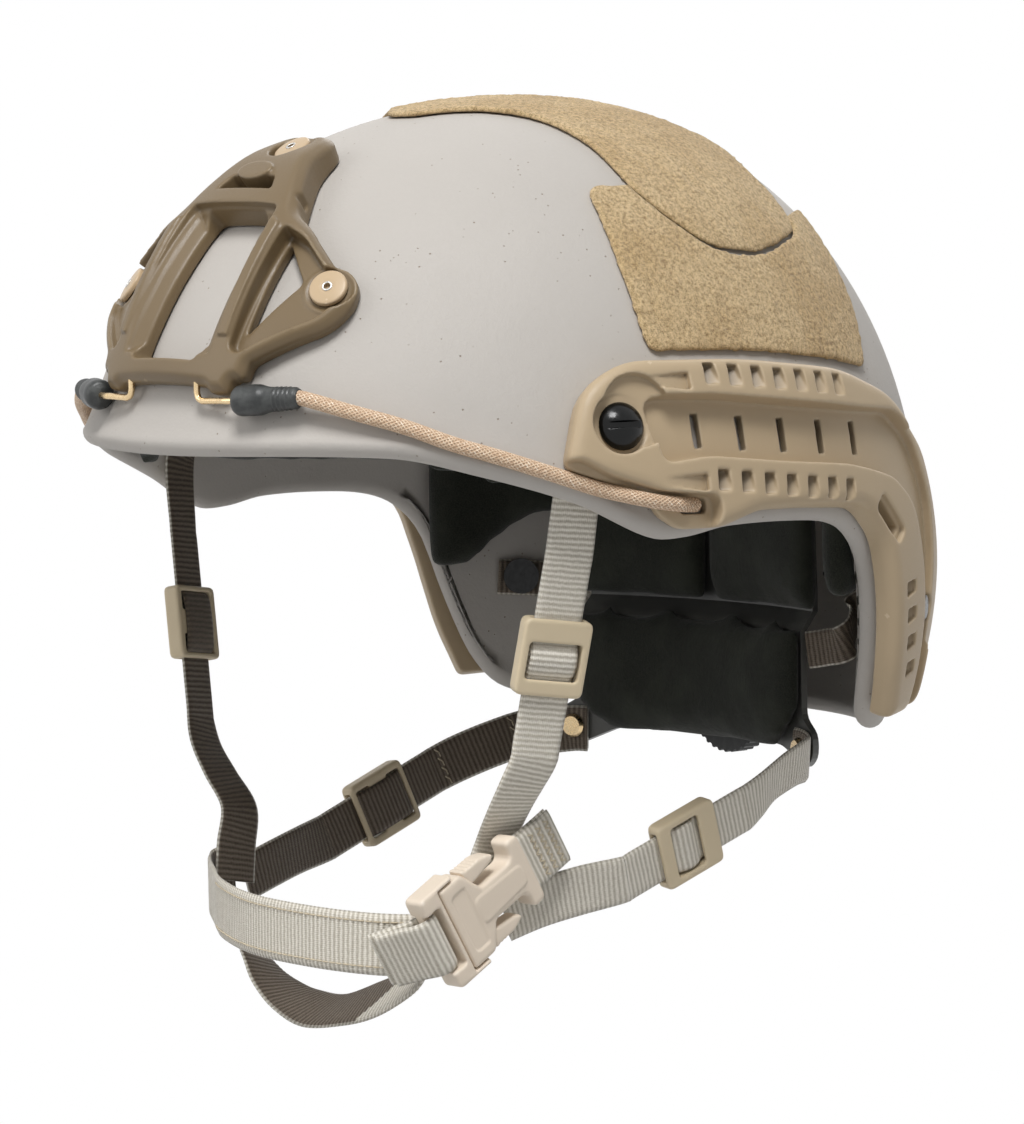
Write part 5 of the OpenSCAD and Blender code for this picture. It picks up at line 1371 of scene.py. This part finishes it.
rear_route = [on_ear(-5, -1), on_ear(0, -1), on_ear(7, -1.8, 1)] + [
    (67, 61.5, -106.4), (70.6, 49, -109.6), (74.6, 38, -113.6)
] + [on_line(rear_slide, t) for t in (-0.12, 0, 1, 1.12)] + [
    (70, -34, -137.2), (66.6, -47.6, -140), (64.8, -60, -143.4)
]
rear_span = (0.13, -0.25, 0.95)
rear_spans = [
    (0, 0, 1), (0, 0, 1), (0.1, 0, 1), (0.24, 0, 1), (0.26, 0, 0.95), (0.22, -0.2, 0.95)
] + [rear_span] * 4 + [(0, -0.2, 0.98), (0, -0.18, 0.98), (0, -0.18, 0.98)]
upper_chin_route = [
    (64.6, -72, -148.6), (65, -84, -149), (61.8, -94, -148.6), (51.4, -102.8, -148.2), (30, -108, -147.6),
    (0, -107, -147), (-28, -97.5, -146), (-46, -87, -144.6), (-57.6, -79.8, -143.4), (-64.6, -73.4, -142.2),
    (-67.4, -63.4, -141.2),
]
upper_chin_spans = [(0, 0.2 if i < 2 else 0, 1) for i in range(11)]
lower_chin_route = [
    (58.6, -81, -153.6), (52.6, -82, -159), (38.6, -82.6, -166.6), (22.5, -82.6, -172), (3, -82, -176.4),
    (-12.6, -81, -174.7), (-23.2, -80.5, -170.8), (-31.4, -80, -165.6), (-37.6, -80, -159.4),
    (-41, -79.8, -150),
]
lower_chin_spans = [
    (0.3, 0.55, 0.6), (0.33, 0.53, 0.7), (0.3, 0.6, 0.7), (0.25, 0.7, 0.65), (0.05, 0.88, 0.45),
    (-0.2, 0.93, 0.25), (-0.33, 0.93, 0.1), (-0.5, 0.85, 0), (-0.6, 0.8, 0), (-0.65, 0.76, 0),
]

points, faces, lay = ribbon(front_route, front_spans, strap_w, strap_t)
both_sides("front_strap", points, faces, "webbing", lay=lay)
strap_bend = (0.0755, 0.02, -0.1205), (0.06, 0.072, -0.105)
points, faces, lay = ribbon(rear_route, rear_spans, strap_w, strap_t)
bend_to_nape(both_sides("rear_strap", points, faces, "webbing", None, lay=lay), *strap_bend)
points, faces, lay = ribbon(upper_chin_route, upper_chin_spans, chin_w, strap_t)
piece("dressed_upper_chin_band", points, faces, "webbing", "helmet", ["upper_chin_band"], lay=lay)
band = lay[:, 1].max()
edge = chin_w / 2 - 2.6
points, faces = stitches(upper_chin_route, upper_chin_spans, strap_t, [
    (14, band - 46, edge, edge), (14, band - 46, -edge, -edge), (14, 14, -edge, edge),
    (26, 26, -edge, edge), (14, 26, -edge, edge), (14, 26, edge, -edge),
])
piece("chin_band_stitching", points, faces, "thread", "helmet", slot="webbing")
points, faces, lay = ribbon(lower_chin_route, lower_chin_spans, chin_w, strap_t)
turned = lay[:, 1] + 1.05 * lay[:, 0] < 29
lay[turned, 2] = 1
piece("dressed_lower_chin_band", points, faces, "webbing", "helmet", ["lower_chin_band"], lay=lay)


# Lines of thread where the rear straps are sewn back on themselves
seam_runs = [
    (s, s + 1.4 * (k % 2), -6.6 + 1.65 * k, -4.95 + 1.65 * k) for s in (26, 54) for k in range(8)
]
points, faces = stitches(rear_route, rear_spans, -strap_t, seam_runs, 2.0)
seams = both_sides("rear_strap_seam", points, faces, "thread", None, "webbing", stands=False)
bend_to_nape(seams, *strap_bend)


# Sliders

slider_w, slider_len, slider_t, slider_gap = 22.6, 24.4, 5.6, 0.35


def slider_field(x, y, z):
    half = np.array([slider_w, slider_len, slider_t]) / 2
    body = box_field(x, y, z, -half, half, 1.3)
    corner = np.hypot(
        np.maximum(np.abs(x) - slider_w / 2 + 3, 0), np.maximum(np.abs(y) - slider_len / 2 + 3, 0)
    ) - 3
    body = meet(body, corner, 1.0)
    half_w, half_t = strap_w / 2 + 0.6, strap_t / 2 + slider_gap
    return cut_boxes(body, (x, y, z), [
        ((-half_w, -20, -half_t), (half_w, 20, half_t), 0.3, 0.7),
        ((-8.5, -6.9, 0), (8.5, 4.7, 9), 1.2, 0.8),
        ((-8.3, -10, -9), (8.3, -4, 0), 0.8, 0.8),
        ((-8.3, 4, -9), (8.3, 10, 0), 0.8, 0.8),
    ])


def strap_frame(ends, span):
    """Axes of a piece on a straight stretch of strap: across, up the strap, outwards."""
    up = unit(ends[0] - ends[1])
    side = unit(np.array(span) - (np.array(span) @ up) * up)
    face = np.cross(up, side)
    face = face if face[0] > 0 else -face
    return (ends[0] + ends[1]) / 2, np.stack([np.cross(up, face), up, face])


slider_points, slider_faces = block(slider_field, (-12.2, -13.2, -3.6), (12.2, 13.2, 3.6), 0.36)
for name, ends, span in (("front", front_slide, front_span), ("rear", rear_slide, rear_span)):
    at, axes = strap_frame(ends, span)
    body = "{side}_" + name + "_slide"
    both_sides(f"{name}_slider", slider_points @ axes + at, slider_faces, "slider", body, "hardware")
    for part, face_side, route in (
        ("fold", 1, [(0, -6.4, -0.2), (0, -4.6, 1.3), (0, -1, 2.2), (0, 2.4, 1.4), (0, 4.2, -0.2)]),
        ("bridge", -1, [(0, -10.6, -0.4), (0, -8.2, -2.4), (0, 0, -3.1), (0, 8.2, -2.4), (0, 10.6, -0.4)]),
    ):
        points, faces, lay = ribbon(np.array(route) @ axes + at, [axes[0]] * 5, 15.4, 1.2, 0.3)
        lay[:, 2] = face_side
        both_sides(f"{name}_slider_{part}", points, faces, "webbing", body, lay=lay, stands=False)


# Buckle: X along it towards the rear strap, Z to the outside

buckle_at = np.array([72.5, -77.3, -136.9])
lean = math.radians(30.1)
buckle_axes = np.array([
    [0, math.cos(lean), math.sin(lean)], [0, -math.sin(lean), math.cos(lean)], [1, 0, 0]
])
buckle_w, buckle_len, buckle_t, buckle_gap = 28.4, 42.0, 8.4, 0.3
mouth_x, mouth_depth, cavity_half_w, cavity_half_t = -13.0, 10.0, 12.4, 1.8
spine_half_w, prong_y = 5.8, 8.5
latch_x = mouth_x + mouth_depth


def plate(points, x, y, z, low, high, r):
    """A plate with an outline in its own plane; worked out once for every level."""
    flat = inside_outline(points, x[:, :, 0], y[:, :, 0])[..., None]
    return meet(meet(flat, z - high, r), low - z, r)


def female_field(x, y, z):
    half, back = buckle_w / 2, buckle_len / 2
    outline = rounded(mirrored([
        (mouth_x, half, 1), (latch_x - 0.6, half, 1.6), (1.4, spine_half_w + 0.2, 1.2),
        (15.4, spine_half_w + 0.2, 4), (15.6, 12, 1.8), (back, 12, 2.6),
    ], (1, -1)))
    body = plate(outline, x, y, z, -buckle_t / 2, buckle_t / 2, 1.6)
    body = cut_boxes(body, (x, y, z), [
        ((-20, -cavity_half_w, -cavity_half_t), (latch_x + 0.5, cavity_half_w, cavity_half_t), 0.4, 0.5),
        ((-20, -4.6, -cavity_half_t), (6, 4.6, cavity_half_t), 0.4, 0.5),
        ((16.4, -10.6, -2.1), (30, 10.6, 2.1), 0.8, 0.6),
    ])
    recess = rounded([(-10.4, -10, 2), (-4.4, -10, 1), (-4.4, 10, 1), (-10.4, 10, 2)])
    body = carve(body, plate(recess, x, y, z, buckle_t / 2 - 0.45, 9, 0.2), 0.3)
    rib = rounded([(-3.4, 4.4, 2), (17, 3.4, 2), (17, -3.4, 2), (-3.4, -4.4, 2)])
    return join(body, plate(rib, x, y, z, 0, buckle_t / 2 + 0.35, 0.3), 0.5)


def male_field(x, y, z):
    half = buckle_w / 2 + buckle_gap
    front, base_x, wall = -buckle_len / 2, mouth_x - buckle_gap, 1.6
    outline = rounded([
        (front, -half - wall, 2), (base_x + 6.5, -half - wall, 0.4), (base_x + 6.5, -half, 0),
        (base_x, -half, 0), (base_x, half, 0), (base_x + 6.5, half, 0),
        (base_x + 6.5, half + wall, 0.4), (front, half + wall, 2),
    ])
    body = plate(outline, x, y, z, -buckle_t / 2, buckle_t / 2, 1.4)
    tongue = box_field(x, y, z, (base_x - 1, -4.2, -1.5), (base_x + 16, 4.2, 1.5), 0.4)
    body = join(body, tongue, 0.3)
    return cut_boxes(body, (x, y, z), [
        ((front + 2.6, -10.2, -9), (front + 6, 10.2, 9), 0.8, 0.9),
        ((front - 9, -10.2, buckle_t / 2 - 2.4), (front + 5, 10.2, 9), 0.8, 0.9),
        ((front - 9, -10.2, -9), (front + 5, 10.2, -buckle_t / 2 + 2.4), 0.8, 0.9),
    ])


def prong_field(x, y, z):
    root_x, latch = mouth_x + 0.05, latch_x + 0.4
    tongue_t = cavity_half_t - buckle_gap
    arm = rounded([
        (root_x, prong_y - 1.2, 0.3), (root_x, prong_y + 1.2, 0.3), (latch + 2, prong_y + 2.6, 0.5),
        (latch + 2, prong_y + 0.6, 0.5),
    ])
    head = rounded([
        (latch, cavity_half_w - 3, 0.5), (latch, cavity_half_w + 1.6, 0.6),
        (latch + 9, cavity_half_w + 1.2, 3), (latch + 13.4, prong_y + 3, 2),
        (latch + 12, prong_y + 1.4, 1.5), (latch + 1, prong_y - 0.4, 0.5),
    ])
    body = join(
        plate(arm, x, y, z, -tongue_t, tongue_t, 0.4),
        plate(head, x, y, z, -buckle_t / 2 + 0.9, buckle_t / 2 - 0.9, 1.2), 0.8
    )
    for i in range(4):
        grip = np.hypot(x - latch - 2 - 1.5 * i, y - cavity_half_w - 1.5) - 0.55
        body = carve(body, grip, 0.3)
    return body


def on_buckle(solid):
    return solid[0] @ buckle_axes + buckle_at, solid[1]


piece("dressed_buckle_female", *on_buckle(block(female_field, (-14, -15.2, -5.2), (22, 15.2, 5.2), 0.38)),
      "hardware", "helmet", ["buckle_female"])
piece("dressed_buckle_male", *on_buckle(block(male_field, (-22, -17, -5.2), (4.4, 17, 5.2), 0.38)),
      "hardware", "helmet", ["buckle_male"])
prong = block(prong_field, (-14, 6, -4.4), (12, 15.6, 4.4), 0.34)
for name, flip in (("upper", 1), ("lower", -1)):
    p, f = prong
    if flip < 0:
        p, f = p * [1, -1, 1], turned_over(f)
    piece(f"dressed_{name}_prong", *on_buckle((p, f)), "hardware", f"{name}_prong", [f"buckle_{name}_prong"])

back_x, bar_x = buckle_len / 2, -buckle_len / 2
tab_route = [
    (back_x + 15.6, 0, -0.8), (back_x + 8, 0, -0.8), (back_x + 2, 0, -1.1), (back_x - 3, 0, -0.9),
    (back_x - 4, 0, 0), (back_x - 3, 0, 0.9), (back_x + 2, 0, 1.2), (back_x + 8, 0, 0.9),
    (back_x + 15.6, 0, 0.8),
]
loop_route = [
    (bar_x - 10, 0, -14.4), (bar_x - 6, 0, -10), (bar_x - 2, 0, -5.2), (bar_x + 0.2, 0, -3.3),
    (bar_x + 3.6, 0, -2.2), (bar_x + 4.4, 0, 0), (bar_x + 3.6, 0, 2.2), (bar_x + 0.6, 0, 2.9),
    (bar_x - 2.4, 0, 1), (bar_x - 6, 0, -5.6), (bar_x - 10, 0, -11.4),
]
folded_t, buckle_span = strap_t - 0.3, np.array([0, 1.0, 0]) @ buckle_axes


def folded(name, route):
    """Webbing folded round a bar of the buckle, its outer colour on both faces."""
    points = np.array(route) @ buckle_axes + buckle_at
    made, faces, lay = ribbon(points, [buckle_span] * len(route), chin_w, folded_t, 0.4)
    lay[:, 2] = 1
    piece("dressed_" + name, made, faces, "webbing", "helmet", [name], lay=lay)
    return points


tab = folded("buckle_tab", tab_route)
half, long = chin_w / 2 - 1.4, np.linalg.norm(np.diff(tab, axis=0), axis=1).sum()
tab_runs = [
    (long - c - 2.2 * (k % 2), long - c - 2.2 * ((k + 1) % 2), -half + 1.2 * k, -half + 1.2 * (k + 1))
    for c in (1.4, 5, 8.6) for k in range(13)
]
points, faces = stitches(tab, [buckle_span] * len(tab), folded_t, tab_runs, 2.4)
piece("tab_stitching", points, faces, "thread", "helmet", slot="webbing")
folded("chin_loop", loop_route)


# Pads

def swell(u, v):
    """Fullness of a pad: 1 over most of it, 0 at its rim."""
    return (1 - np.abs(2 * u - 1) ** 8) ** 0.5 * (1 - np.abs(2 * v - 1) ** 6) ** 0.5


def slab(back, front):
    """A closed skin between two grids of points."""
    m, n = back.shape[:2]
    i, j = np.meshgrid(np.arange(m - 1), np.arange(n - 1), indexing="ij")
    a = (i * n + j).ravel()
    flat = np.stack([a, a + 1, a + n + 1, a + n], 1)
    rim = np.concatenate([
        np.arange(n - 1), np.arange(m - 1) * n + n - 1, (m - 1) * n + np.arange(n - 1, 0, -1),
        np.arange(m - 1, 0, -1) * n,
    ])
    after = np.roll(rim, -1)
    count = m * n
    edge = np.stack([rim, rim + count, after + count, after], 1)
    faces = np.concatenate([flat, flat[:, ::-1] + count, edge])
    return np.concatenate([back.reshape(-1, 3), front.reshape(-1, 3)]), faces


def shares(steps, low=0):
    """Two grids of shares from low to 1."""
    return np.meshgrid(*[np.linspace(low, 1, n + 1) for n in steps], indexing="ij")


def shell_pad(az, low_keys, top, t, steps=(48, 36)):
    """A pad on the inside of the shell between two azimuths."""
    rim, draw_in = 0.3, 1.3
    i, j = shares(steps)
    a = az[0] + (az[1] - az[0]) * i
    foot = curve(low_keys, np.abs(a))
    z = foot + (top - foot) * j
    s = swell(i, j)
    deep_at = -WALL - soft_gap
    return slab(skin(a, z, deep_at - draw_in * (1 - s)), skin(a, z, deep_at - t * (rim + (1 - rim) * s)))


def nape_cushion(x, z, r, t, corner=0.0, steps=(56, 36)):
    """A pad on the round of the nape cradle."""
    i, j = shares(steps)
    px = x[0] + (x[1] - x[0]) * i
    low = z[0] + corner * np.abs(2 * i - 1) ** 7
    pz = low + (z[1] - low) * j
    s = swell(i, j)

    def at(q):
        return np.stack([px, nape_axis_y + np.sqrt(q * q - px * px), pz], -1)
    return slab(at(r + t - 1.2 * (1 - s)), at(r + t - t * (0.35 + 0.65 * s)))


def crown_cushion(t):
    """A round pad under the crown."""
    radius, top = 46.0, CROWN - WALL - soft_gap
    i, j = shares((40, 40), -1)
    x = i * np.sqrt(1 - j * j / 2) * radius
    y = j * np.sqrt(1 - i * i / 2) * radius
    q = np.minimum(1, np.hypot(x, y) / radius)

    def at(u):
        full = 0.35 + 0.65 * np.sqrt(1 - np.minimum(q, 1) ** 6)
        return np.stack([x, y, top - 0.0047 * (x * x + y * y) - u * t * full - 1.2 * q**6], -1)
    return slab(at(0), at(1))


pad_t = 13.0
brow_low = [(a, z - 0.8) for a, z in edge_keys if a <= 76]
rear_low = [(110, -52), (121, -52), (127, -42), (133, -35), (150, -34)]


cover_voxel, cover_cap, cover_frames = 4.5, 1.6, 14
cover_cloth = {
    "quality": 5, "mass": 0.3, "tension_stiffness": 25, "compression_stiffness": 25, "shear_stiffness": 10,
    "bending_stiffness": 0.3, "use_pressure": True, "uniform_pressure_force": 3.0,
}


def baked(obj):
    """The mesh that an object's modifiers make of it."""
    deps = bpy.context.evaluated_depsgraph_get()
    return bpy.data.meshes.new_from_object(obj.evaluated_get(deps))


def places(mesh):
    at = np.empty(len(mesh.vertices) * 3)
    mesh.vertices.foreach_get("co", at)
    return at.reshape(-1, 3)


def puffed(made):
    """A pad's cover let out by pressure over its foam; no point moves further than the cap."""
    scene = bpy.context.scene
    rest = in_scene("rest_shape", made.data.copy())
    remesh = rest.modifiers.new("even", "REMESH")
    remesh.mode, remesh.voxel_size = "VOXEL", cover_voxel * MM
    even = baked(rest)
    rest.modifiers.clear()
    rest.data = even
    start = places(even)
    cloth = rest.modifiers.new("cover", "CLOTH")
    for setting, value in cover_cloth.items():
        setattr(cloth.settings, setting, value)
    cloth.settings.effector_weights.gravity = 0
    cloth.collision_settings.use_collision = False
    cloth.point_cache.frame_start, cloth.point_cache.frame_end = 1, cover_frames
    for number in range(1, cover_frames + 1):
        scene.frame_set(number)
    grown = baked(rest)
    scene.frame_set(1)
    move = places(grown) - start
    length = np.linalg.norm(move, axis=1, keepdims=True)
    move = move * np.minimum(1, cover_cap * MM / np.maximum(length, 1e-9))
    even.vertices.foreach_set("co", (start + move).astype(np.float32).ravel())
    rest.modifiers.clear()
    smooth = rest.modifiers.new("smooth", "SUBSURF")
    smooth.levels = smooth.render_levels = 1
    made.data = baked(rest)
    made.data.materials.clear()
    made.data.materials.append(paint["pad"])
    made.data.polygons.foreach_set("use_smooth", np.ones(len(made.data.polygons), bool))
    bpy.data.objects.remove(rest)


def cushion(name, solid, body):
    made = piece("dressed_" + name, *solid, "pad", None, [name])
    puffed(made)
    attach(made, body)


def pinched(solid):
    """A pad's shape drawn in a little, for its cover to be let out again."""
    points, faces = solid
    half, most = len(points) // 2, 0.6
    middle = (points[:half] + points[half:]) / 2
    inner = np.concatenate([middle, middle])
    thick = np.linalg.norm(points - inner, axis=1, keepdims=True)
    return points + (inner - points) * np.minimum(1, most / np.maximum(thick, 1e-6)), faces


for name, solid, body in (
    ("brow_pad", shell_pad((-54, 54), brow_low, 34, 10, (80, 24)), "helmet"),
    ("crown_pad", crown_cushion(pad_t), "helmet"),
    ("nape_pad", nape_cushion((-55.5, 55.5), (-106, -63), 156, 9, 15, (80, 36)), "nape"),
):
    cushion(name, pinched(solid), body)
for name, solid, body in (
    ("front_pad", shell_pad((72, 100), [(70, 4), (102, 4)], 44, pad_t), "helmet"),
    ("rear_pad", shell_pad((113.8, 146), rear_low, 8, pad_t), "helmet"),
    ("upper_nape_pad", nape_cushion((0.6, 62), (-60, -12), 160, 10), "nape"),
):
    cushion("left_" + name, pinched(solid), body)
    cushion("right_" + name, on_right(*pinched(solid)), body)


# Bands and laces

band_w, band_t, lace_d, cradle_half_w = 12.0, 1.4, 1.8, 54.0


def behind_nut(az, z, lift=0.0):
    """A point of the band, under the nut of the rail's rear screw."""
    return skin(rear_bolt[0] + az, rear_bolt[1] + z, -WALL - soft_gap - 0.3 - lift - band_t / 2)


band_route = [
    (cradle_half_w + 2, 76.2, -72), (cradle_half_w + 8, 78, -71), (cradle_half_w + 16, 80, -68.5),
    behind_nut(13, -5, 7), behind_nut(5.6, -1.5, 0.6), behind_nut(-3.8, 0),
]
band_spans = [(0, 0, 1)] * 4 + [skin_axes(rear_bolt[0] + a, rear_bolt[1])[1] for a in (5, -3.8)]
points, faces, lay = ribbon(band_route, band_spans, band_w, band_t)
bands = both_sides("band", points, faces, "webbing", None, lay=lay)
bend_to_nape(bands, (0.082, 0.078, -0.062), (0.062, 0.078, -0.07))
lace_end = skin(rear_bolt[0] + 6, rear_bolt[1] + 12, -WALL - 0.5 - lace_d / 2)
lace_route = [
    (cradle_half_w + 2.6, 83.4, -48), (cradle_half_w + 8, 84.6, -47.2), (cradle_half_w + 14, 85, -46.4),
    (lace_end + [cradle_half_w + 18, 84.5, -46]) / 2, lace_end,
]
p, _, _ = evenly(lace_route, 0.8)
points, faces = tube(p, lace_d / 2, 14)
bend_to_nape(both_sides("lace", points, faces, "lace", None), (0.078, 0.085, -0.045), (0.06, 0.084, -0.048))


# Frame nodes whose shape stays

for name, material in (
    ("shroud_nuts", "black_metal"), ("rail_nuts", "black_metal"), ("nape_cradle", "grey_plastic"),
    ("dial_housing", "grey_plastic"), ("lace_spool", "black_plastic"), ("adjuster_dial", "black_plastic"),
    ("strap_studs", "wire"),
):
    mesh = nodes[name].data
    mesh.materials.clear()
    mesh.materials.append(paint[material])


# Stage: a pale floor and soft light

def lamp(name, azimuth, elevation, distance, size, share):
    """A square lamp; a share of 1 lights a white surface that faces it to white."""
    data = bpy.data.lights.new(name, "AREA")
    data.shape, data.size = "SQUARE", size
    data.energy = share * math.pi**2 * distance**2
    way = heading(math.radians(azimuth), math.radians(elevation))
    side = unit(np.cross((0, 0, 1), way))
    stand(in_scene(name, data), (side, np.cross(way, side), way), way * distance)


def seen_by(tree, *rays):
    """1 for rays of these kinds and 0 for others."""
    path = tree.nodes.new("ShaderNodeLightPath")
    seen = [Wire(tree, path.outputs[f"Is {ray} Ray"]) for ray in rays]
    share = seen[0].most(seen[1])
    return share.most(seen[2]) if seen[2:] else share


lamp("key", 42, 58, 2.2, 0.8, 0.9)
lamp("fill", -25, 25, 2.4, 1.6, 0.24)
lamp("rim", -150, 35, 2.4, 1.4, 0.22)

floor_mesh = bpy.data.meshes.new("floor")
far, floor_z = 30.0, cad_box[0][2] - 0.0015
corners = [(x * far, y * far, floor_z) for x, y in ((-1, -1), (1, -1), (1, 1), (-1, 1))]
floor_mesh.from_pydata(corners, [], [(0, 1, 2, 3)])
floor = in_scene("floor", floor_mesh)
ground = Paint(
    "floor_white", Base_Color=(0.55, 0.55, 0.55, 1), Roughness=0.9, Specular_IOR_Level=0.0
)
tree = ground.tree
glow = tree.nodes.new("ShaderNodeEmission")
blend_shader = tree.nodes.new("ShaderNodeMixShader")
tree.links.new(seen_by(tree, "Camera", "Glossy").socket, blend_shader.inputs[0])
tree.links.new(ground.shader.outputs[0], blend_shader.inputs[1])
tree.links.new(glow.outputs[0], blend_shader.inputs[2])
tree.links.new(blend_shader.outputs[0], tree.nodes["Material Output"].inputs["Surface"])
floor_mesh.materials.append(ground.material)

world = bpy.data.worlds.new("studio")
world.use_nodes = True
bpy.context.scene.world = world
tree = world.node_tree
background = tree.nodes["Background"]
ambient = 0.27
share = seen_by(tree, "Camera", "Glossy", "Transmission").ramp(0.0, 1.0, ambient, 1.0)
tree.links.new(share.socket, background.inputs["Strength"])
background.inputs["Color"].default_value = (1, 1, 1, 1)

bpy.context.scene.view_settings.view_transform = "Standard"
